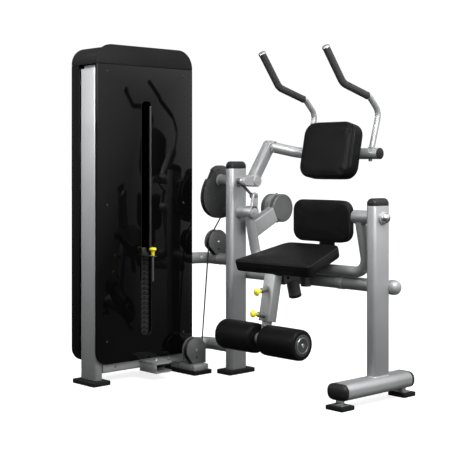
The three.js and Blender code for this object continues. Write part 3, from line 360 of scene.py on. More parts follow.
def weld(centre, direction, radius, size=3.0):
    """A bead round a tube where it meets another piece."""
    d = Vector(direction).normalized()
    u, v = across(d)
    rings = []
    count = 96
    for k in range(count):
        t = 2 * math.pi * k / count
        out = u * math.cos(t) + v * math.sin(t)
        swell = size * (1 + 0.18 * math.sin(t * 34))
        middle = Vector(centre) + out * radius
        rings.append([middle + (out * math.cos(a) + d * math.sin(a)) * swell
                      for a in [2 * math.pi * j / 8 for j in range(8)]])
    return loft(rings, closed=True)


def shade_smooth(mesh):
    mesh.polygons.foreach_set("use_smooth", [True] * len(mesh.polygons))


def build(name, parts, sharp=32.0):
    """One mesh object from (material, shape) pairs."""
    mesh = bpy.data.meshes.new(name)
    points, faces, owners, materials = [], [], [], []
    for material, shape in parts:
        if material not in materials:
            materials.append(material)
        start = len(points)
        points += [p / 1000 + SHIFT for p in shape[0]]
        faces += [tuple(start + i for i in f) for f in shape[1]]
        owners += [materials.index(material)] * len(shape[1])
    mesh.from_pydata(points, [], faces)
    for material in materials:
        mesh.materials.append(material)
    mesh.polygons.foreach_set("material_index", owners)
    work = bmesh.new()
    work.from_mesh(mesh)
    bmesh.ops.remove_doubles(work, verts=work.verts, dist=1e-7)
    bmesh.ops.recalc_face_normals(work, faces=work.faces)
    work.to_mesh(mesh)
    work.free()
    shade_smooth(mesh)
    mesh.set_sharp_from_angle(angle=math.radians(sharp))
    piece = bpy.data.objects.new(name, mesh)
    scene.collection.objects.link(piece)
    return piece


def apply_modifiers(piece):
    graph = bpy.context.evaluated_depsgraph_get()
    piece.data = bpy.data.meshes.new_from_object(piece.evaluated_get(graph))
    piece.modifiers.clear()


def dress(node, *parts, sharp=32.0):
    """The finished piece that stands for a CAD node, riding on that node's body."""
    piece = build(f"{node}.finished", parts, sharp)
    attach(piece, BODY_OF[node])
    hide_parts(node)
    return piece


def fitting(name, body, slot, *parts):
    """A small piece that has no CAD node of its own."""
    piece = build(name, parts)
    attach(piece, body)
    return piece


# ---- Weight tower ----

TOWER_X0, TOWER_X1, TOWER_Y0, TOWER_Y1, TOWER_Z0, TOWER_Z1 = -806, -607, -678, -116, 88, 1520
CAP_Z = 1430
STACK_X, STACK_Y = -682, -397
PANEL_X = TOWER_X1 - 14


def tower_outline(top):
    low = 60
    return (arc(TOWER_Y0 + low, TOWER_Z0 + low, low, math.pi, 1.5 * math.pi, 20)
            + arc(TOWER_Y1 - low, TOWER_Z0 + low, low, -math.pi / 2, 0, 20)
            + [(TOWER_Y1, top), (TOWER_Y0, top)])


def cut_out(piece, shape):
    """Cuts a shape from a piece."""
    tool = build("tool", [(GAP_SHADE, shape)])
    modifier = piece.modifiers.new("cut", "BOOLEAN")
    modifier.object = tool
    modifier.operation = "DIFFERENCE"
    modifier.solver = "EXACT"
    apply_modifiers(piece)
    bpy.data.objects.remove(tool)
    shade_smooth(piece.data)
    piece.data.set_sharp_from_angle(angle=math.radians(32))


panel = dress("inner_panel", (PANEL, plate(tower_outline(CAP_Z - 0.6), "x", PANEL_X, TOWER_X1, 2.5)))
slot_outline = rounded(STACK_Y, 736, 56, 1072, 20, 10)
cut_out(panel, plate(slot_outline, "x", PANEL_X - 5, TOWER_X1 + 5, 0.5))
slot_rim = loft([lifted(inset(slot_outline, d), "x", TOWER_X1 + h)
                 for h, d in ((-0.2, 0.2), (0.5, -0.9), (-0.2, -1.8), (-0.9, -0.9))], closed=True)
# The slot's plastic rim, and a mid-grey strip along the slot's rear inner wall (+Y) from z 600 to 1250: a
# painted highlight on the panel's cut edge.
fitting("slot_rim_and_painted_highlight", "root", "black_plastic", (PLASTIC, slot_rim),
        (MID_GREY, block(PANEL_X + 1, TOWER_X1 - 1, STACK_Y + 25.8, STACK_Y + 28.2, 600, 1250, 0.3, 0.5)))
screws = []
for z in (1398, 800, 190):
    for y in (TOWER_Y0 + 57, TOWER_Y1 - 57):
        screws.append((GREY, socket_bolt((TOWER_X1 - 0.3, y, z), (1, 0, 0), 5.0, 2.6)))
fitting("panel_screws", "root", "chrome", *screws)

SHROUD_X = TOWER_X0 + 65
shroud_outline = tower_outline(CAP_Z - 0.6)
shroud_levels = [(SHROUD_X, 0), (TOWER_X0 + 9, 0), (TOWER_X0 + 5, 1.2), (TOWER_X0 + 2, 4.0), (TOWER_X0, 9.0)]
outer = [lifted(inset(shroud_outline, d) if d else shroud_outline, "x", h) for h, d in shroud_levels]
inner = [lifted(inset(shroud_outline, d + 4), "x", h + 4) for h, d in reversed(shroud_levels[1:])]
inner.append(lifted(inset(shroud_outline, 4), "x", SHROUD_X))
outer_points, outer_faces = loft(outer, caps=False)
count = len(shroud_outline)
outer_faces.append(tuple(4 * count + k for k in range(count)))
inner_points, inner_faces = loft(inner, caps=False)
inner_faces.append(tuple(range(count)))
shell_points = outer_points + inner_points
offset = len(outer_points)
shell_faces = outer_faces + [tuple(offset + i for i in f) for f in inner_faces]
shell_faces += [(k, (k + 1) % count, offset + 4 * count + (k + 1) % count, offset + 4 * count + k)
                for k in range(count)]
shroud = dress("outer_shroud", (PANEL, (shell_points, shell_faces)))
cut_out(shroud, block(-783, SHROUD_X + 5, STACK_Y - 17, STACK_Y + 17, TOWER_Z0 - 8, TOWER_Z0 + 14, 0.5))


def cap_outline(drop=0):
    high, top = 85 - drop, TOWER_Z1 - drop
    return ([(TOWER_Y0, CAP_Z), (TOWER_Y1, CAP_Z)]
            + arc(TOWER_Y1 - high, top - high, high, 0, math.pi / 2, 28)
            + arc(TOWER_Y0 + high, top - high, high, math.pi / 2, math.pi, 28))


ROOF_DROP = 10
cap_levels = [(TOWER_X0, 9, ROOF_DROP), (TOWER_X0 + 1.6, 5, ROOF_DROP), (TOWER_X0 + 5, 1.6, ROOF_DROP),
              (TOWER_X0 + 11, 0, ROOF_DROP), (PANEL_X - 1, 0, ROOF_DROP), (PANEL_X, 1.8, 0),
              (PANEL_X + 0.6, 0.6, 0),
              (PANEL_X + 2, 0, 0), (TOWER_X1 - 2.5, 0, 0), (TOWER_X1 - 0.8, 0.8, 0), (TOWER_X1, 2.5, 0)]
cap_rings = []
for x, d, drop in cap_levels:
    ring = inset(cap_outline(drop), d)
    cap_rings.append([Vector((x, a, max(b, CAP_Z + 0.3))) for a, b in ring])
dress("top_cap", (CAP, loft(cap_rings)), sharp=40)
# Painted shade: a near-black strip set back in the hairline between the top cap and the inner panel, in place
# of the shadow in that gap.
seam = plate([(TOWER_Y0 + 3, CAP_Z - 3), (TOWER_Y1 - 3, CAP_Z - 3), (TOWER_Y1 - 3, CAP_Z + 3),
              (TOWER_Y0 + 3, CAP_Z + 3)], "x", TOWER_X1 - 13, TOWER_X1 - 2.2, 0.4)
fitting("cap_seam", "root", "black_plastic", (GAP_SHADE, seam))

FRONT_POST_Y, REAR_POST_Y = TOWER_Y0 + 25, TOWER_Y1 - 25
for node, y in (("tower_front_post", FRONT_POST_Y), ("tower_rear_post", REAR_POST_Y)):
    dress(node, (SILVER, plate(rounded(-681, y, 115, 42, 12), "z", 19.3, 1409.7)))

beam_y0, beam_y1 = FRONT_POST_Y + 21.3, REAR_POST_Y - 21.3
dress(
    "base_beam",
    (SILVER, plate(rounded(-648, 73, 50, 50, 8), "y", beam_y0, beam_y1)),
    (SILVER, block(-623.2, -497, -199, -112, 19.3, 46, 2.0, 5.0)),
    (SILVER, block(-670, -610, -199, beam_y1, 19.3, 52, 1.5)),
    (GREY, block(-735, -629, STACK_Y - 140, STACK_Y + 140, 150, 199.7)),
    (GREY, block(-671, -637, STACK_Y - 75, STACK_Y - 45, 90, 155)),
    (GREY, block(-671, -637, STACK_Y + 45, STACK_Y + 75, 90, 155)),
    (STEEL, socket_bolt((-620, -156, 33), (1, 0, 0), 6.0, 3.0)),
    (STEEL, socket_bolt((-622.9, -250, 73), (1, 0, 0), 7.0, 4.0)),
    (STEEL, socket_bolt((-622.9, -560, 73), (1, 0, 0), 7.0, 4.0)),
)
dress(
    "top_crosshead",
    (SILVER, block(-733, -629, TOWER_Y0 + 22, STACK_Y - 14, 1410, 1428)),
    (SILVER, block(-733, -629, STACK_Y + 14, TOWER_Y1 - 22, 1410, 1428)),
    (SILVER, block(-654, -629, STACK_Y - 20, STACK_Y + 20, 1410, 1450)),
)
dress("tower_front_foot", (RUBBER, plate(rounded(-671, -660, 162, 97, 8), "z", 0, 19, 2.5)))
dress("tower_rear_foot", (RUBBER, plate(rounded(-621, -150, 262, 111, 8), "z", 0, 19, 2.5)))

plates = []
for i in range(15):
    z = 200 + 22.5 * i
    plates.append((CAST, plate(rounded(STACK_X, STACK_Y, 106, 300, 8, 5), "z", z + 0.8, z + 21.7, 1.6)))
    hole = (-629.2, STACK_Y + 3, z + 11.2)
    rim = [(8.5, 0), (8.5, 0.8), (7.6, 1.4), (6.2, 1.4), (6, -2), (0, -2)]
    plates.append((CAST, lathe(rim, hole, (1, 0, 0), 28)))
    # Painted shade: a near-black disc just inside each selector hole, in place of the shadow down the hole.
    plates.append((GAP_SHADE, lathe([(6.1, 0), (6.1, 0.7), (0, 0.7)], hole, (1, 0, 0), 28)))
dress("weight_stack", *plates)
PIN_Y = STACK_Y + 2
dress(
    "head_plate",
    (CAST, plate(rounded(STACK_X, STACK_Y, 106, 300, 8, 5), "z", 537.8, 575.5, 2.0)),
    (GREY, block(-640, -545, PIN_Y - 12, PIN_Y + 12, 559.5, 564.5, 1.0, 4.0)),
    (GREY, block(-640, -624, PIN_Y - 12, PIN_Y + 12, 559.5, 597.5, 1.0)),
    (STEEL, rod((STACK_X, STACK_Y, 212), (STACK_X, STACK_Y, 548), 12.5)),
    (STEEL, rod((STACK_X, STACK_Y, 573), (STACK_X, STACK_Y, 609.5), 11)),
    (GREY, socket_bolt((-623.9, PIN_Y, 590), (1, 0, 0), 5, 3)),
)
dress(
    "selector_pin",
    (STEEL, lathe([(0, -117), (3, -117), (5, -113), (5, 0)], (-563, PIN_Y, 564.8), (0, 0, 1))),
    (YELLOW, lathe([(8, 0), (8.4, 1), (8.4, 14), (10, 19), (14, 23), (17, 26), (17.6, 29), (17, 32.5),
                    (13.5, 36), (7, 37.6), (0, 38)], (-563, PIN_Y, 564.8), (0, 0, 1))),
)
for node, y in (("guide_rod_front", STACK_Y - 118), ("guide_rod_rear", STACK_Y + 118)):
    dress(node, (CHROME, rod((STACK_X, y, 112), (STACK_X, y, 1428), 11)),
          (RUBBER, rod((STACK_X, y, 112.5), (STACK_X, y, 149), 19, 3)))

# ---- Pulleys and housings ----

CABLE_X = -546


def pulley(radius, centre, axis):
    rim, floor, half = radius + 7, radius - 3.7, 11
    profile = [(6.4, -half), (16, -half), (17, -half + 2.5), (rim - 9, -half + 2.5), (rim - 8, -half),
               (rim - 2, -half), (rim - 0.4, -half + 0.8), (rim, -half + 2.4), (floor + 1.5, -3.6),
               (floor, -2.4),
               (floor, 2.4), (floor + 1.5, 3.6), (rim, half - 2.4), (rim - 0.4, half - 0.8), (rim - 2, half),
               (rim - 8, half), (rim - 9, half - 2.5), (17, half - 2.5), (16, half), (6.4, half)]
    return lathe(profile, centre, axis, 72, closed=True)


dress("upper_pulley", (PLASTIC, pulley(46, (CABLE_X, -20, 611), (1, 0, 0))))
dress("lower_pulley", (PLASTIC, pulley(48, (CABLE_X, -160, 111), (1, 0, 0))))
dress("side_pulley", (PLASTIC, pulley(34, (-580, -362, 63), (0, 0, 1))))
dress("tower_pulley", (PLASTIC, pulley(40, (-722, STACK_Y, 103), (0, 1, 0))))
dress("top_pulley", (PLASTIC, pulley(40, (-722, STACK_Y, 1430), (0, 1, 0))))


def cheek_pair(outline, y, z):
    parts = []
    for side in (1, -1):
        near, far = CABLE_X + side * 13, CABLE_X + side * 18
        parts.append((MID_GREY, plate(outline, "x", min(near, far), max(near, far), 1.0)))
        parts += [(STEEL, shape) for shape in hex_bolt((far, y, z), (side, 0, 0), 6.0, 4.0)]
        # Painted shade: a near-black plug in each cheek hole, in place of the shadow inside it.
        hole, out = Vector((far, y + 2, z - 34)), Vector((side, 0, 0))
        parts.append((GAP_SHADE, rod(hole - out * 2, hole + out * 0.2, 4.5, 0.1)))
    parts.append((STEEL, rod((CABLE_X - 18, y, z), (CABLE_X + 18, y, z), 6)))
    return parts


low_cheek = [(-180, 46.3), (-101, 46.3)] + arc(-160, 111, 59, 0, 1.1 * math.pi, 40)
high_cheek = [(-28, 548), (32, 548)] + arc(-20, 611, 59, 0, 1.1 * math.pi, 40)
dress("lower_pulley_housing", *cheek_pair(low_cheek, -160, 111),
      (GREY, block(CABLE_X - 17, CABLE_X + 17, -178, -120, 46.3, 52)))
dress("upper_pulley_housing", *cheek_pair(high_cheek, -20, 611),
      (GREY, block(CABLE_X - 17, CABLE_X + 17, -24, 22, 550, 556)),
      (SILVER, weld((CABLE_X - 16, -5, 530), (1, 0, 0), 26.5, 2.0)),
      (SILVER, weld((CABLE_X + 16, -5, 530), (1, 0, 0), 26.5, 2.0)))
bracket = [(-622.5, -424), (-500, -424)] + arc(-560, -364, 60, -0.35, 0.9, 20) + [(-622.5, -305)]
dress(
    "side_pulley_bracket",
    (SILVER, plate(bracket, "z", 76, 81, 1.0)),
    (SILVER, plate(bracket, "z", 36, 40, 1.0)),
    (SILVER, block(-622.5, -505, -424, -419, 36, 81, 0.8, 2.0)),
    (STEEL, rod((-580, -362, 40), (-580, -362, 76), 6)),
    *[(STEEL, shape) for shape in hex_bolt((-580, -362, 81), (0, 0, 1), 9.0, 6.5)],
)

# ---- Two-post frame ----

POST_WIDTH, POST_DEPTH, POST_CORNER = 50, 102, 16
POST_TOPS = {"left": 962.0, "right": 810.0}


def domed(x, z, height):
    levels = ((0, 0.8), (0.02, 0.2), (0.06, 0), (0.4, 0), (0.5, 0.8), (0.62, 2.4), (0.74, 4.8), (0.85, 8),
              (0.94, 12), (0.985, 15.6), (1, 18.5))
    return stacked(rounded(x, 0, POST_WIDTH, POST_DEPTH, POST_CORNER, 10), "z",
                   [(z + height * share, d) for share, d in levels])


def post_parts(x, z0, z1):
    return (SILVER, plate(rounded(x, 0, POST_WIDTH, POST_DEPTH, POST_CORNER, 10), "z", z0, z1, 1.5))


dress("left_post", post_parts(-POST_X, 20.3, POST_TOPS["left"]))
dress("left_post_cap", (PLASTIC, domed(-POST_X, POST_TOPS["left"] + 0.3, 34)), sharp=25)
dress("left_post_foot", (RUBBER, plate(rounded(-POST_X, 0, 93, 166, 8), "z", 0, 20, 3.0)))
dress("right_post", post_parts(POST_X, 104.3, POST_TOPS["right"]),
      (LIGHT_SILVER, rod((POST_X + 22, 0, 760), (POST_X + 33, 0, 760), 27.5, 1.5)))
dress("right_post_cap", (PLASTIC, domed(POST_X, POST_TOPS["right"] + 0.3, 31)), sharp=25)

beam_outline = rounded(POST_X, 71, 105, 66, 28, 12)
dress("foot_beam", (SILVER, plate(beam_outline, "y", -242, 165, 1.5)),
      (SILVER, loft([lifted(rounded(POST_X, 0, POST_WIDTH + d, POST_DEPTH + d, POST_CORNER + d / 2, 10), "z",
                            104 - drop)
                     for d, drop in ((0.2, -4.0), (3, -1.0), (6, 0.6), (6, 3), (0.2, 3))], closed=True)))
for node, y, side in (("foot_beam_front_cap", -242, -1), ("foot_beam_rear_cap", 165, 1)):
    levels = [(0.3, 0.6), (1.5, 0), (12, 0), (16, 2.0), (20, 6.0), (25, 12.0), (28, 18.0)]
    dress(node, (PLASTIC, stacked(beam_outline, "y", [(y + side * h, d) for h, d in levels])))
for node, y in (("front_leveller", -238), ("rear_leveller", 159)):
    dress(node, (RUBBER, plate(rounded(POST_X, y, 92, 80, 8), "z", 0, 17, 2.0)),
          (STEEL, plate(rounded(POST_X, y, 60, 50, 5), "z", 16.5, 21, 0.8)),
          (STEEL, rod((POST_X, y, 20), (POST_X, y, 37.7), 17)))

POST_FACE = POST_WIDTH / 2 + 0.3
TOWER_SIDE = -POST_X - POST_FACE
INNER_FACE = POST_X - POST_FACE
for node, y, z, r in (("upper_link_tube", -5, 530, 27), ("lower_link_tube", 0, 118, 29)):
    path = filleted([(-650, REAR_POST_Y + 21.3, z), (-650, y, z), (TOWER_SIDE, y, z)], [60])
    dress(node, (SILVER, tube(path, r)),
          (SILVER, weld((TOWER_SIDE - 1, y, z), (1, 0, 0), r, 2.6)),
          (SILVER, weld((-650, REAR_POST_Y + 23, z), (0, 1, 0), r, 2.6)))
cross_y, cross_z, cross_r = 71, 467, 28
cross_length = 936
cross_dome = [(cross_r, 0), (31, 1), (31.5, 3), (31.5, 16), (31, 22), (29.2, 28.5), (26, 34), (21.4, 38.4),
              (15.6, 41.6), (8, 43.5), (0, 44)]
dress(
    "cross_tube",
    (SILVER, lathe([(26, 0), (cross_r, 1.5), (cross_r, cross_length - 20), (0, cross_length - 20)],
                   (-452, cross_y, cross_z), (1, 0, 0), 64)),
    (SILVER, lathe(cross_dome, (-452 + cross_length - 44, cross_y, cross_z), (1, 0, 0), 64)),
    (LIGHT_SILVER, rod((150, cross_y, cross_z), (186, cross_y, cross_z), 29.8, 1.5)),
    *[(STEEL, s) for s in hex_bolt((168, cross_y - 10, cross_z + 27), (0, -0.3, 1), 6.5, 5)],
)

# ---- Cable ----

CAM_RADIUS = 116
CABLE_R = 3.3
RISER_X, RUN_Z, TOP_PULLEY_Z, TURN_R = -762, 63, 1430, 40
upper_at, upper_r = Vector((CABLE_X, -20, 611)), 46
lower_at, lower_r = Vector((CABLE_X, -160, 111)), 48
cam_at = Vector((CABLE_X, 0, 905))
ALONG_X, ALONG_Y, UP = Vector((1, 0, 0)), Vector((0, 1, 0)), Vector((0, 0, 1))


def wrap(centre, radius, start, stop, u, v, steps=14):
    """Points where the cable lies on a pulley."""
    return [centre + u * (radius * math.cos(a)) + v * (radius * math.sin(a))
            for a in (start + (stop - start) * k / steps for k in range(steps + 1))]


down = upper_at - cam_at
slope = math.acos((CAM_RADIUS + upper_r) / down.length) - math.atan2(-down.y, -down.z)
normal = Vector((0, math.sin(slope), -math.cos(slope)))
leave = cam_at + normal * CAM_RADIUS
between = lower_at - upper_at
crossing = math.asin((upper_r + lower_r) / between.length)
front_angle = math.pi - (crossing - math.atan2(-between.y, -between.z))
turn_x = RISER_X + TURN_R
route = [leave]
route += wrap(upper_at, upper_r, math.atan2(-normal.z, -normal.y), front_angle, ALONG_Y, UP)
route += wrap(lower_at, lower_r, front_angle - math.pi, -math.pi / 2, ALONG_Y, UP)
route += wrap(Vector((-580, -362, RUN_Z)), 34, 0, -math.pi / 2, ALONG_X, ALONG_Y)
route += wrap(Vector((turn_x, STACK_Y, RUN_Z + TURN_R)), TURN_R, -math.pi / 2, -math.pi, ALONG_X, UP)
route += wrap(Vector((turn_x, STACK_Y, TOP_PULLEY_Z)), TURN_R, math.pi, 0, ALONG_X, UP, 28)
dress("cable", (WIRE, tube(route, CABLE_R, 20)))
cam_leave = math.atan2(normal.z, normal.y)
cam_wrap = wrap(cam_at, CAM_RADIUS, 0.3, cam_leave + 0.02, ALONG_Y, UP, 40)
dress("cam_cable", (WIRE, tube(cam_wrap, CABLE_R, 20)))

# In the machine the drop shortens from its top end as the head plate rises; here it is a straight run over
# the CAD drop's height, with a mesh of its own.
drop_low, drop_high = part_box("cable_drop")
drop_low, drop_high = (drop_low - SHIFT) * 1000, (drop_high - SHIFT) * 1000
drop_line = [Vector((STACK_X, STACK_Y, drop_low.z + (drop_high.z - drop_low.z) * k / 12)) for k in range(13)]
drop = build("cable_drop.finished", [(WIRE, tube(drop_line, CABLE_R, 20))])
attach(drop, "root")
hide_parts("cable_drop")
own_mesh(drop)

# ---- Crunch arm ----

ARM_Z = 905
YOKE_Z = 760
HUB_END = INNER_FACE - 0.3
YOKE_HUB = 303


def bezier(p0, p1, p2, p3, steps=18):
    out = []
    for k in range(1, steps + 1):
        t = k / steps
        s = 1 - t
        out.append(tuple(s ** 3 * a + 3 * s * s * t * b + 3 * s * t * t * c + t ** 3 * d
                         for a, b, c, d in zip(p0, p1, p2, p3)))
    return out


def cam_outline():
    z = ARM_Z
    points = [(-46, z + 46), (-69, z + 4), (-77, z + 8)]
    points += bezier((-77, z + 8), (-114, z - 45), (-122, z - 105), (-84, z - 147))
    points += bezier((-84, z - 147), (-58, z - 172), (-28, z - 181), (4, z - 181))
    points += bezier((4, z - 181), (70, z - 178), (136, z - 118), (142, z - 40))
    points += bezier((142, z - 40), (142, z + 10), (92, z + 60), (40, z + 62))
    return points + arc(4, z, 72, 1.02, 2.42, 18)[1:]


outline = cam_outline()
core = inset(outline, 20)
cam_parts = [(GREY, plate(outline, "x", CABLE_X + 4, CABLE_X + 13, 1.2)),
             (GREY, plate(outline, "x", CABLE_X - 13, CABLE_X - 4, 1.2)),
             (GREY, plate(core, "x", CABLE_X - 4.2, CABLE_X + 4.2, 0.1)),
             (SILVER, rod((CABLE_X + 12, 0, ARM_Z), (TOWER_SIDE, 0, ARM_Z), 27, 1.5)),
             (STEEL, rod((TOWER_SIDE - 5, 0, ARM_Z), (-INNER_FACE, 0, ARM_Z), 14)),
             (SILVER, weld((CABLE_X + 13.5, 0, ARM_Z), (1, 0, 0), 27.5, 2.6))]
for y, z in ((-20, 52), (60, -30), (-40, -90)):
    cam_parts.append((DARK_STEEL, socket_bolt((CABLE_X + 12.8, y, ARM_Z + z), (1, 0, 0), 6, 3)))
dress("cam", *cam_parts)

ARM_TUBE_X = -318
rise = math.atan2(167, 112)
reach = math.hypot(112, 167)
blade = [(0, -22), (reach, -22)] + arc(reach, 0, 22, -math.pi / 2, math.pi / 2, 20)[1:] + [(0, 22)]
turn = Matrix.Translation((0, 0, ARM_Z)) @ Matrix.Rotation(rise, 4, "X")
arm_path = filleted([(ARM_TUBE_X + 10, 108, 1066), (-226, 214, 1036), (-120, 252, 1030), (234, 252, 1030)],
                    [120, 90])
lever = [(0, ARM_Z - 22), (0, ARM_Z + 22)] + arc(-78, ARM_Z, 17, math.pi / 2, 1.5 * math.pi, 20)
dress(
    "arm_frame",
    (SILVER, rod((-HUB_END, 0, ARM_Z), (-284, 0, ARM_Z), 27, 1.5)),
    (LIGHT_SILVER, lathe([(24, 0), (24, 3.4), (22.4, 5), (9, 5), (8.4, 7), (0, 7)], (-284.2, 0, ARM_Z),
                         (1, 0, 0))),
    (SILVER, moved(plate(blade, "x", ARM_TUBE_X - 25, ARM_TUBE_X + 25, 6.0), turn)),
    (SILVER, tube(arm_path, 25, 56)),
    (PLASTIC, lathe([(25.2, 0), (25.6, 0.6), (25.2, 2.6), (22, 4.4), (0, 5)], (233.2, 252, 1030), (1, 0, 0))),
    (LIGHT_SILVER, plate(list(reversed(lever)), "x", -300, -285, 1.2)),
    (LIGHT_SILVER, lathe([(15, 0), (15, 3), (13.4, 4.4), (7, 4.4), (6.4, 6), (0, 6)], (-285.4, -78, ARM_Z),
                         (1, 0, 0))),
    (SILVER, weld((180, 262, 1055), (0, 0.25, 1), 14, 2.4)),
    (SILVER, weld((-208, 262, 1055), (0, 0.25, 1), 14, 2.4)),
    (SILVER, weld((-284.5, 112, 1065), (1, 0.2, -0.1), 24, 2.6)),
    (STEEL, lathe([(9, 0), (9, 9), (7, 11), (0, 11)], (180, 252, 1006), (0, 0, -1), 6)),
)


def handle_points(x):
    return [(x, 262, 1057), (x, 312, 1218), (x, 246, 1284), (x, 66, 1336), (x, -46, 1486)]


for side, x in (("left", 180), ("right", -208)):
    points = [Vector(p) for p in handle_points(x)]
    path = filleted(points, [55, 55, 60])
    dress(f"{side}_handle", (SILVER, tube(path, 13, 40)))
    start = points[2].lerp(points[3], 0.1)
    end = points[4].lerp(points[3], 0.02)
    grip_path = filleted([start, points[3], end], [60], 3.0)
    tip = (points[4] - points[3]).normalized()
    dress(
        f"{side}_grip",
        (GRIP, tube(grip_path, 16.5, 48, 2.0)),
        (CHROME, lathe([(17.4, 0), (17.8, 1), (17.6, 6), (15, 9.5), (9, 11.6), (0, 12.2)], end - tip * 2,
                       tip)),
        (CHROME, lathe([(17.2, 0), (17.2, 4), (14, 4.6)], start, (points[2] - points[3]).normalized())),
    )

# ---- Link rod ----

LINK_X = -327
link_top, link_low = Vector((LINK_X, -78, ARM_Z)), Vector((LINK_X, 10, 836))
link_parts = [(MID_GREY, rod(link_top, link_low, 6.5))]
for centre, reach_x in ((link_top, -300.3), (link_low, -318.3)):
    link_parts.append((MID_GREY, rod(centre - Vector((7, 0, 0)), centre + Vector((7, 0, 0)), 14, 2.0)))
    link_parts.append((STEEL, rod(centre, (reach_x, centre.y, centre.z), 8)))
    link_parts.append((STEEL, hex_bolt(centre - Vector((7, 0, 0)), (-1, 0, 0), 7, 4)[1]))
dress("link_rod", *link_parts)

# ---- Seat yoke ----

YOKE_LEFT, YOKE_RIGHT = -340, 331
yoke_path = filleted([(YOKE_LEFT, 3, 746), (YOKE_LEFT, 55, 520), (YOKE_RIGHT, 55, 520), (YOKE_RIGHT, 3, 746)],
                     [72, 72])
yoke_washer = [(20, 0), (20, 1.2), (18, 2), (9, 2), (8, 6), (0, 6)]
yoke_lever = [(-20, YOKE_Z), (20, YOKE_Z), (25, 836)] + arc(10, 836, 15, 0, math.pi, 18)[1:]
DRUM_Y, DRUM_Z, DRUM_R = 213, 773, 65.5
arm_turn = math.atan2(DRUM_Z - 672, DRUM_Y - 10)
arm_length = math.hypot(DRUM_Y - 10, DRUM_Z - 672) - DRUM_R - 0.3
weight_arm = moved(
    plate(rounded(YOKE_LEFT, 0, 44, 76, 7), "y", 6, arm_length + 2, 1.0),
    Matrix.Translation((0, 10, 672)) @ Matrix.Rotation(arm_turn, 4, "X"),
)
dress(
    "yoke_frame",
    (SILVER, tube(yoke_path, 23.5, 56)),
    (SILVER, rod((-HUB_END, 0, YOKE_Z), (-YOKE_HUB, 0, YOKE_Z), 28.5, 1.5)),
    (SILVER, rod((YOKE_HUB, 0, YOKE_Z), (HUB_END, 0, YOKE_Z), 28.5, 1.5)),
    (LIGHT_SILVER, lathe(yoke_washer, (-YOKE_HUB - 0.2, 0, YOKE_Z), (1, 0, 0))),
    (LIGHT_SILVER, lathe(yoke_washer, (YOKE_HUB + 0.2, 0, YOKE_Z), (-1, 0, 0))),
    (LIGHT_SILVER, plate(yoke_lever, "x", -318, -YOKE_HUB, 1.2)),
    (STEEL, lathe([(11, 0), (11, 1.5), (9, 2), (6, 2), (5, 4), (0, 4)], (-303, 10, 836), (1, 0, 0))),
    (SILVER, weight_arm),
    (STEEL, rod((-463, 0, YOKE_Z), (-399, 0, YOKE_Z), 14)),
    (STEEL, rod((399, 0, YOKE_Z), (468, 0, YOKE_Z), 14)),
    (GREY, lathe([(26, 0), (26, 39), (24, 42), (12, 42), (11, 46), (0, 46)], (TOWER_SIDE, 0, YOKE_Z),
                 (-1, 0, 0))),
    (CHROME, lathe([(23, 0), (23, 6), (21, 6.8), (20.4, 13), (17, 19), (11, 23), (0, 24.5)],
                   (POST_X + 33.3, 0, YOKE_Z), (1, 0, 0))),
    (SILVER, weld((YOKE_LEFT, 8, 735), (0, 0.22, -1), 24, 2.6)),
    (SILVER, weld((YOKE_RIGHT, 8, 735), (0, 0.22, -1), 24, 2.6)),
)
dress(
    "counterweight",
    (MID_GREY, lathe([(0, 0), (58, 0), (64, 1), (66.6, 3), (67.2, 6), (67.2, 24), (66, 27), (0, 27)],
                     (-412, DRUM_Y, DRUM_Z), (1, 0, 0), 96)),
    (SILVER, lathe([(64, 26), (65.6, 27.5), (65.6, 62.5), (64, 64)], (-412, DRUM_Y, DRUM_Z), (1, 0, 0), 96)),
    (MID_GREY, lathe([(0, 63), (66, 63), (67.2, 66), (67.2, 84), (66.6, 87), (64, 89), (61.5, 89.6),
                      (60.6, 88.2),
                      (59.4, 88.2), (58.5, 89.8), (0, 90)], (-412, DRUM_Y, DRUM_Z), (1, 0, 0), 96)),
    (STEEL, socket_bolt((-367, DRUM_Y, DRUM_Z + 65), (0, 0, 1), 6, 6)),
    (STEEL, socket_bolt((-367, DRUM_Y + 3, DRUM_Z - 65), (0, 0, -1), 6, 6)),
)

# ---- Pads ----

USER_X = 5
WELT_RADIUS = 2.0
SEAT_SPACE = Matrix.Translation((USER_X, -207, 558)) @ Matrix.Rotation(math.radians(14.5), 4, "X")
LEG_SPACE = Matrix.Translation((6, -190, 500)) @ Matrix.Rotation(math.radians(-11), 4, "X")


def inflate(piece, seam_point, cap):
    """Puffs a closed cover by cloth simulation; points near a seam line are held."""
    mesh = piece.data
    start = [v.co.copy() for v in mesh.vertices]
    held = piece.vertex_groups.new(name="held")
    for i, p in enumerate(start):
        if (p - seam_point(p)).length < 0.006:
            held.add([i], 1.0, "REPLACE")
    modifier = piece.modifiers.new("cover", "CLOTH")
    settings = modifier.settings
    settings.quality = 5
    settings.mass = 0.3
    settings.tension_stiffness = 90
    settings.compression_stiffness = 90
    settings.shear_stiffness = 40
    settings.bending_stiffness = 12
    settings.use_pressure = True
    settings.uniform_pressure_force = 2.5
    settings.effector_weights.gravity = 0.0
    settings.vertex_group_mass = "held"
    modifier.point_cache.frame_start = 1
    modifier.point_cache.frame_end = 20
    for step in range(1, 21):
        scene.frame_set(step)
    graph = bpy.context.evaluated_depsgraph_get()
    puffed = piece.evaluated_get(graph).to_mesh()
    end = [v.co.copy() for v in puffed.vertices]
    piece.modifiers.clear()
    scene.frame_set(1)
    for v, a, b in zip(mesh.vertices, start, end):
        step = b - a
        v.co = a + (step * (cap / step.length) if step.length > cap else step)


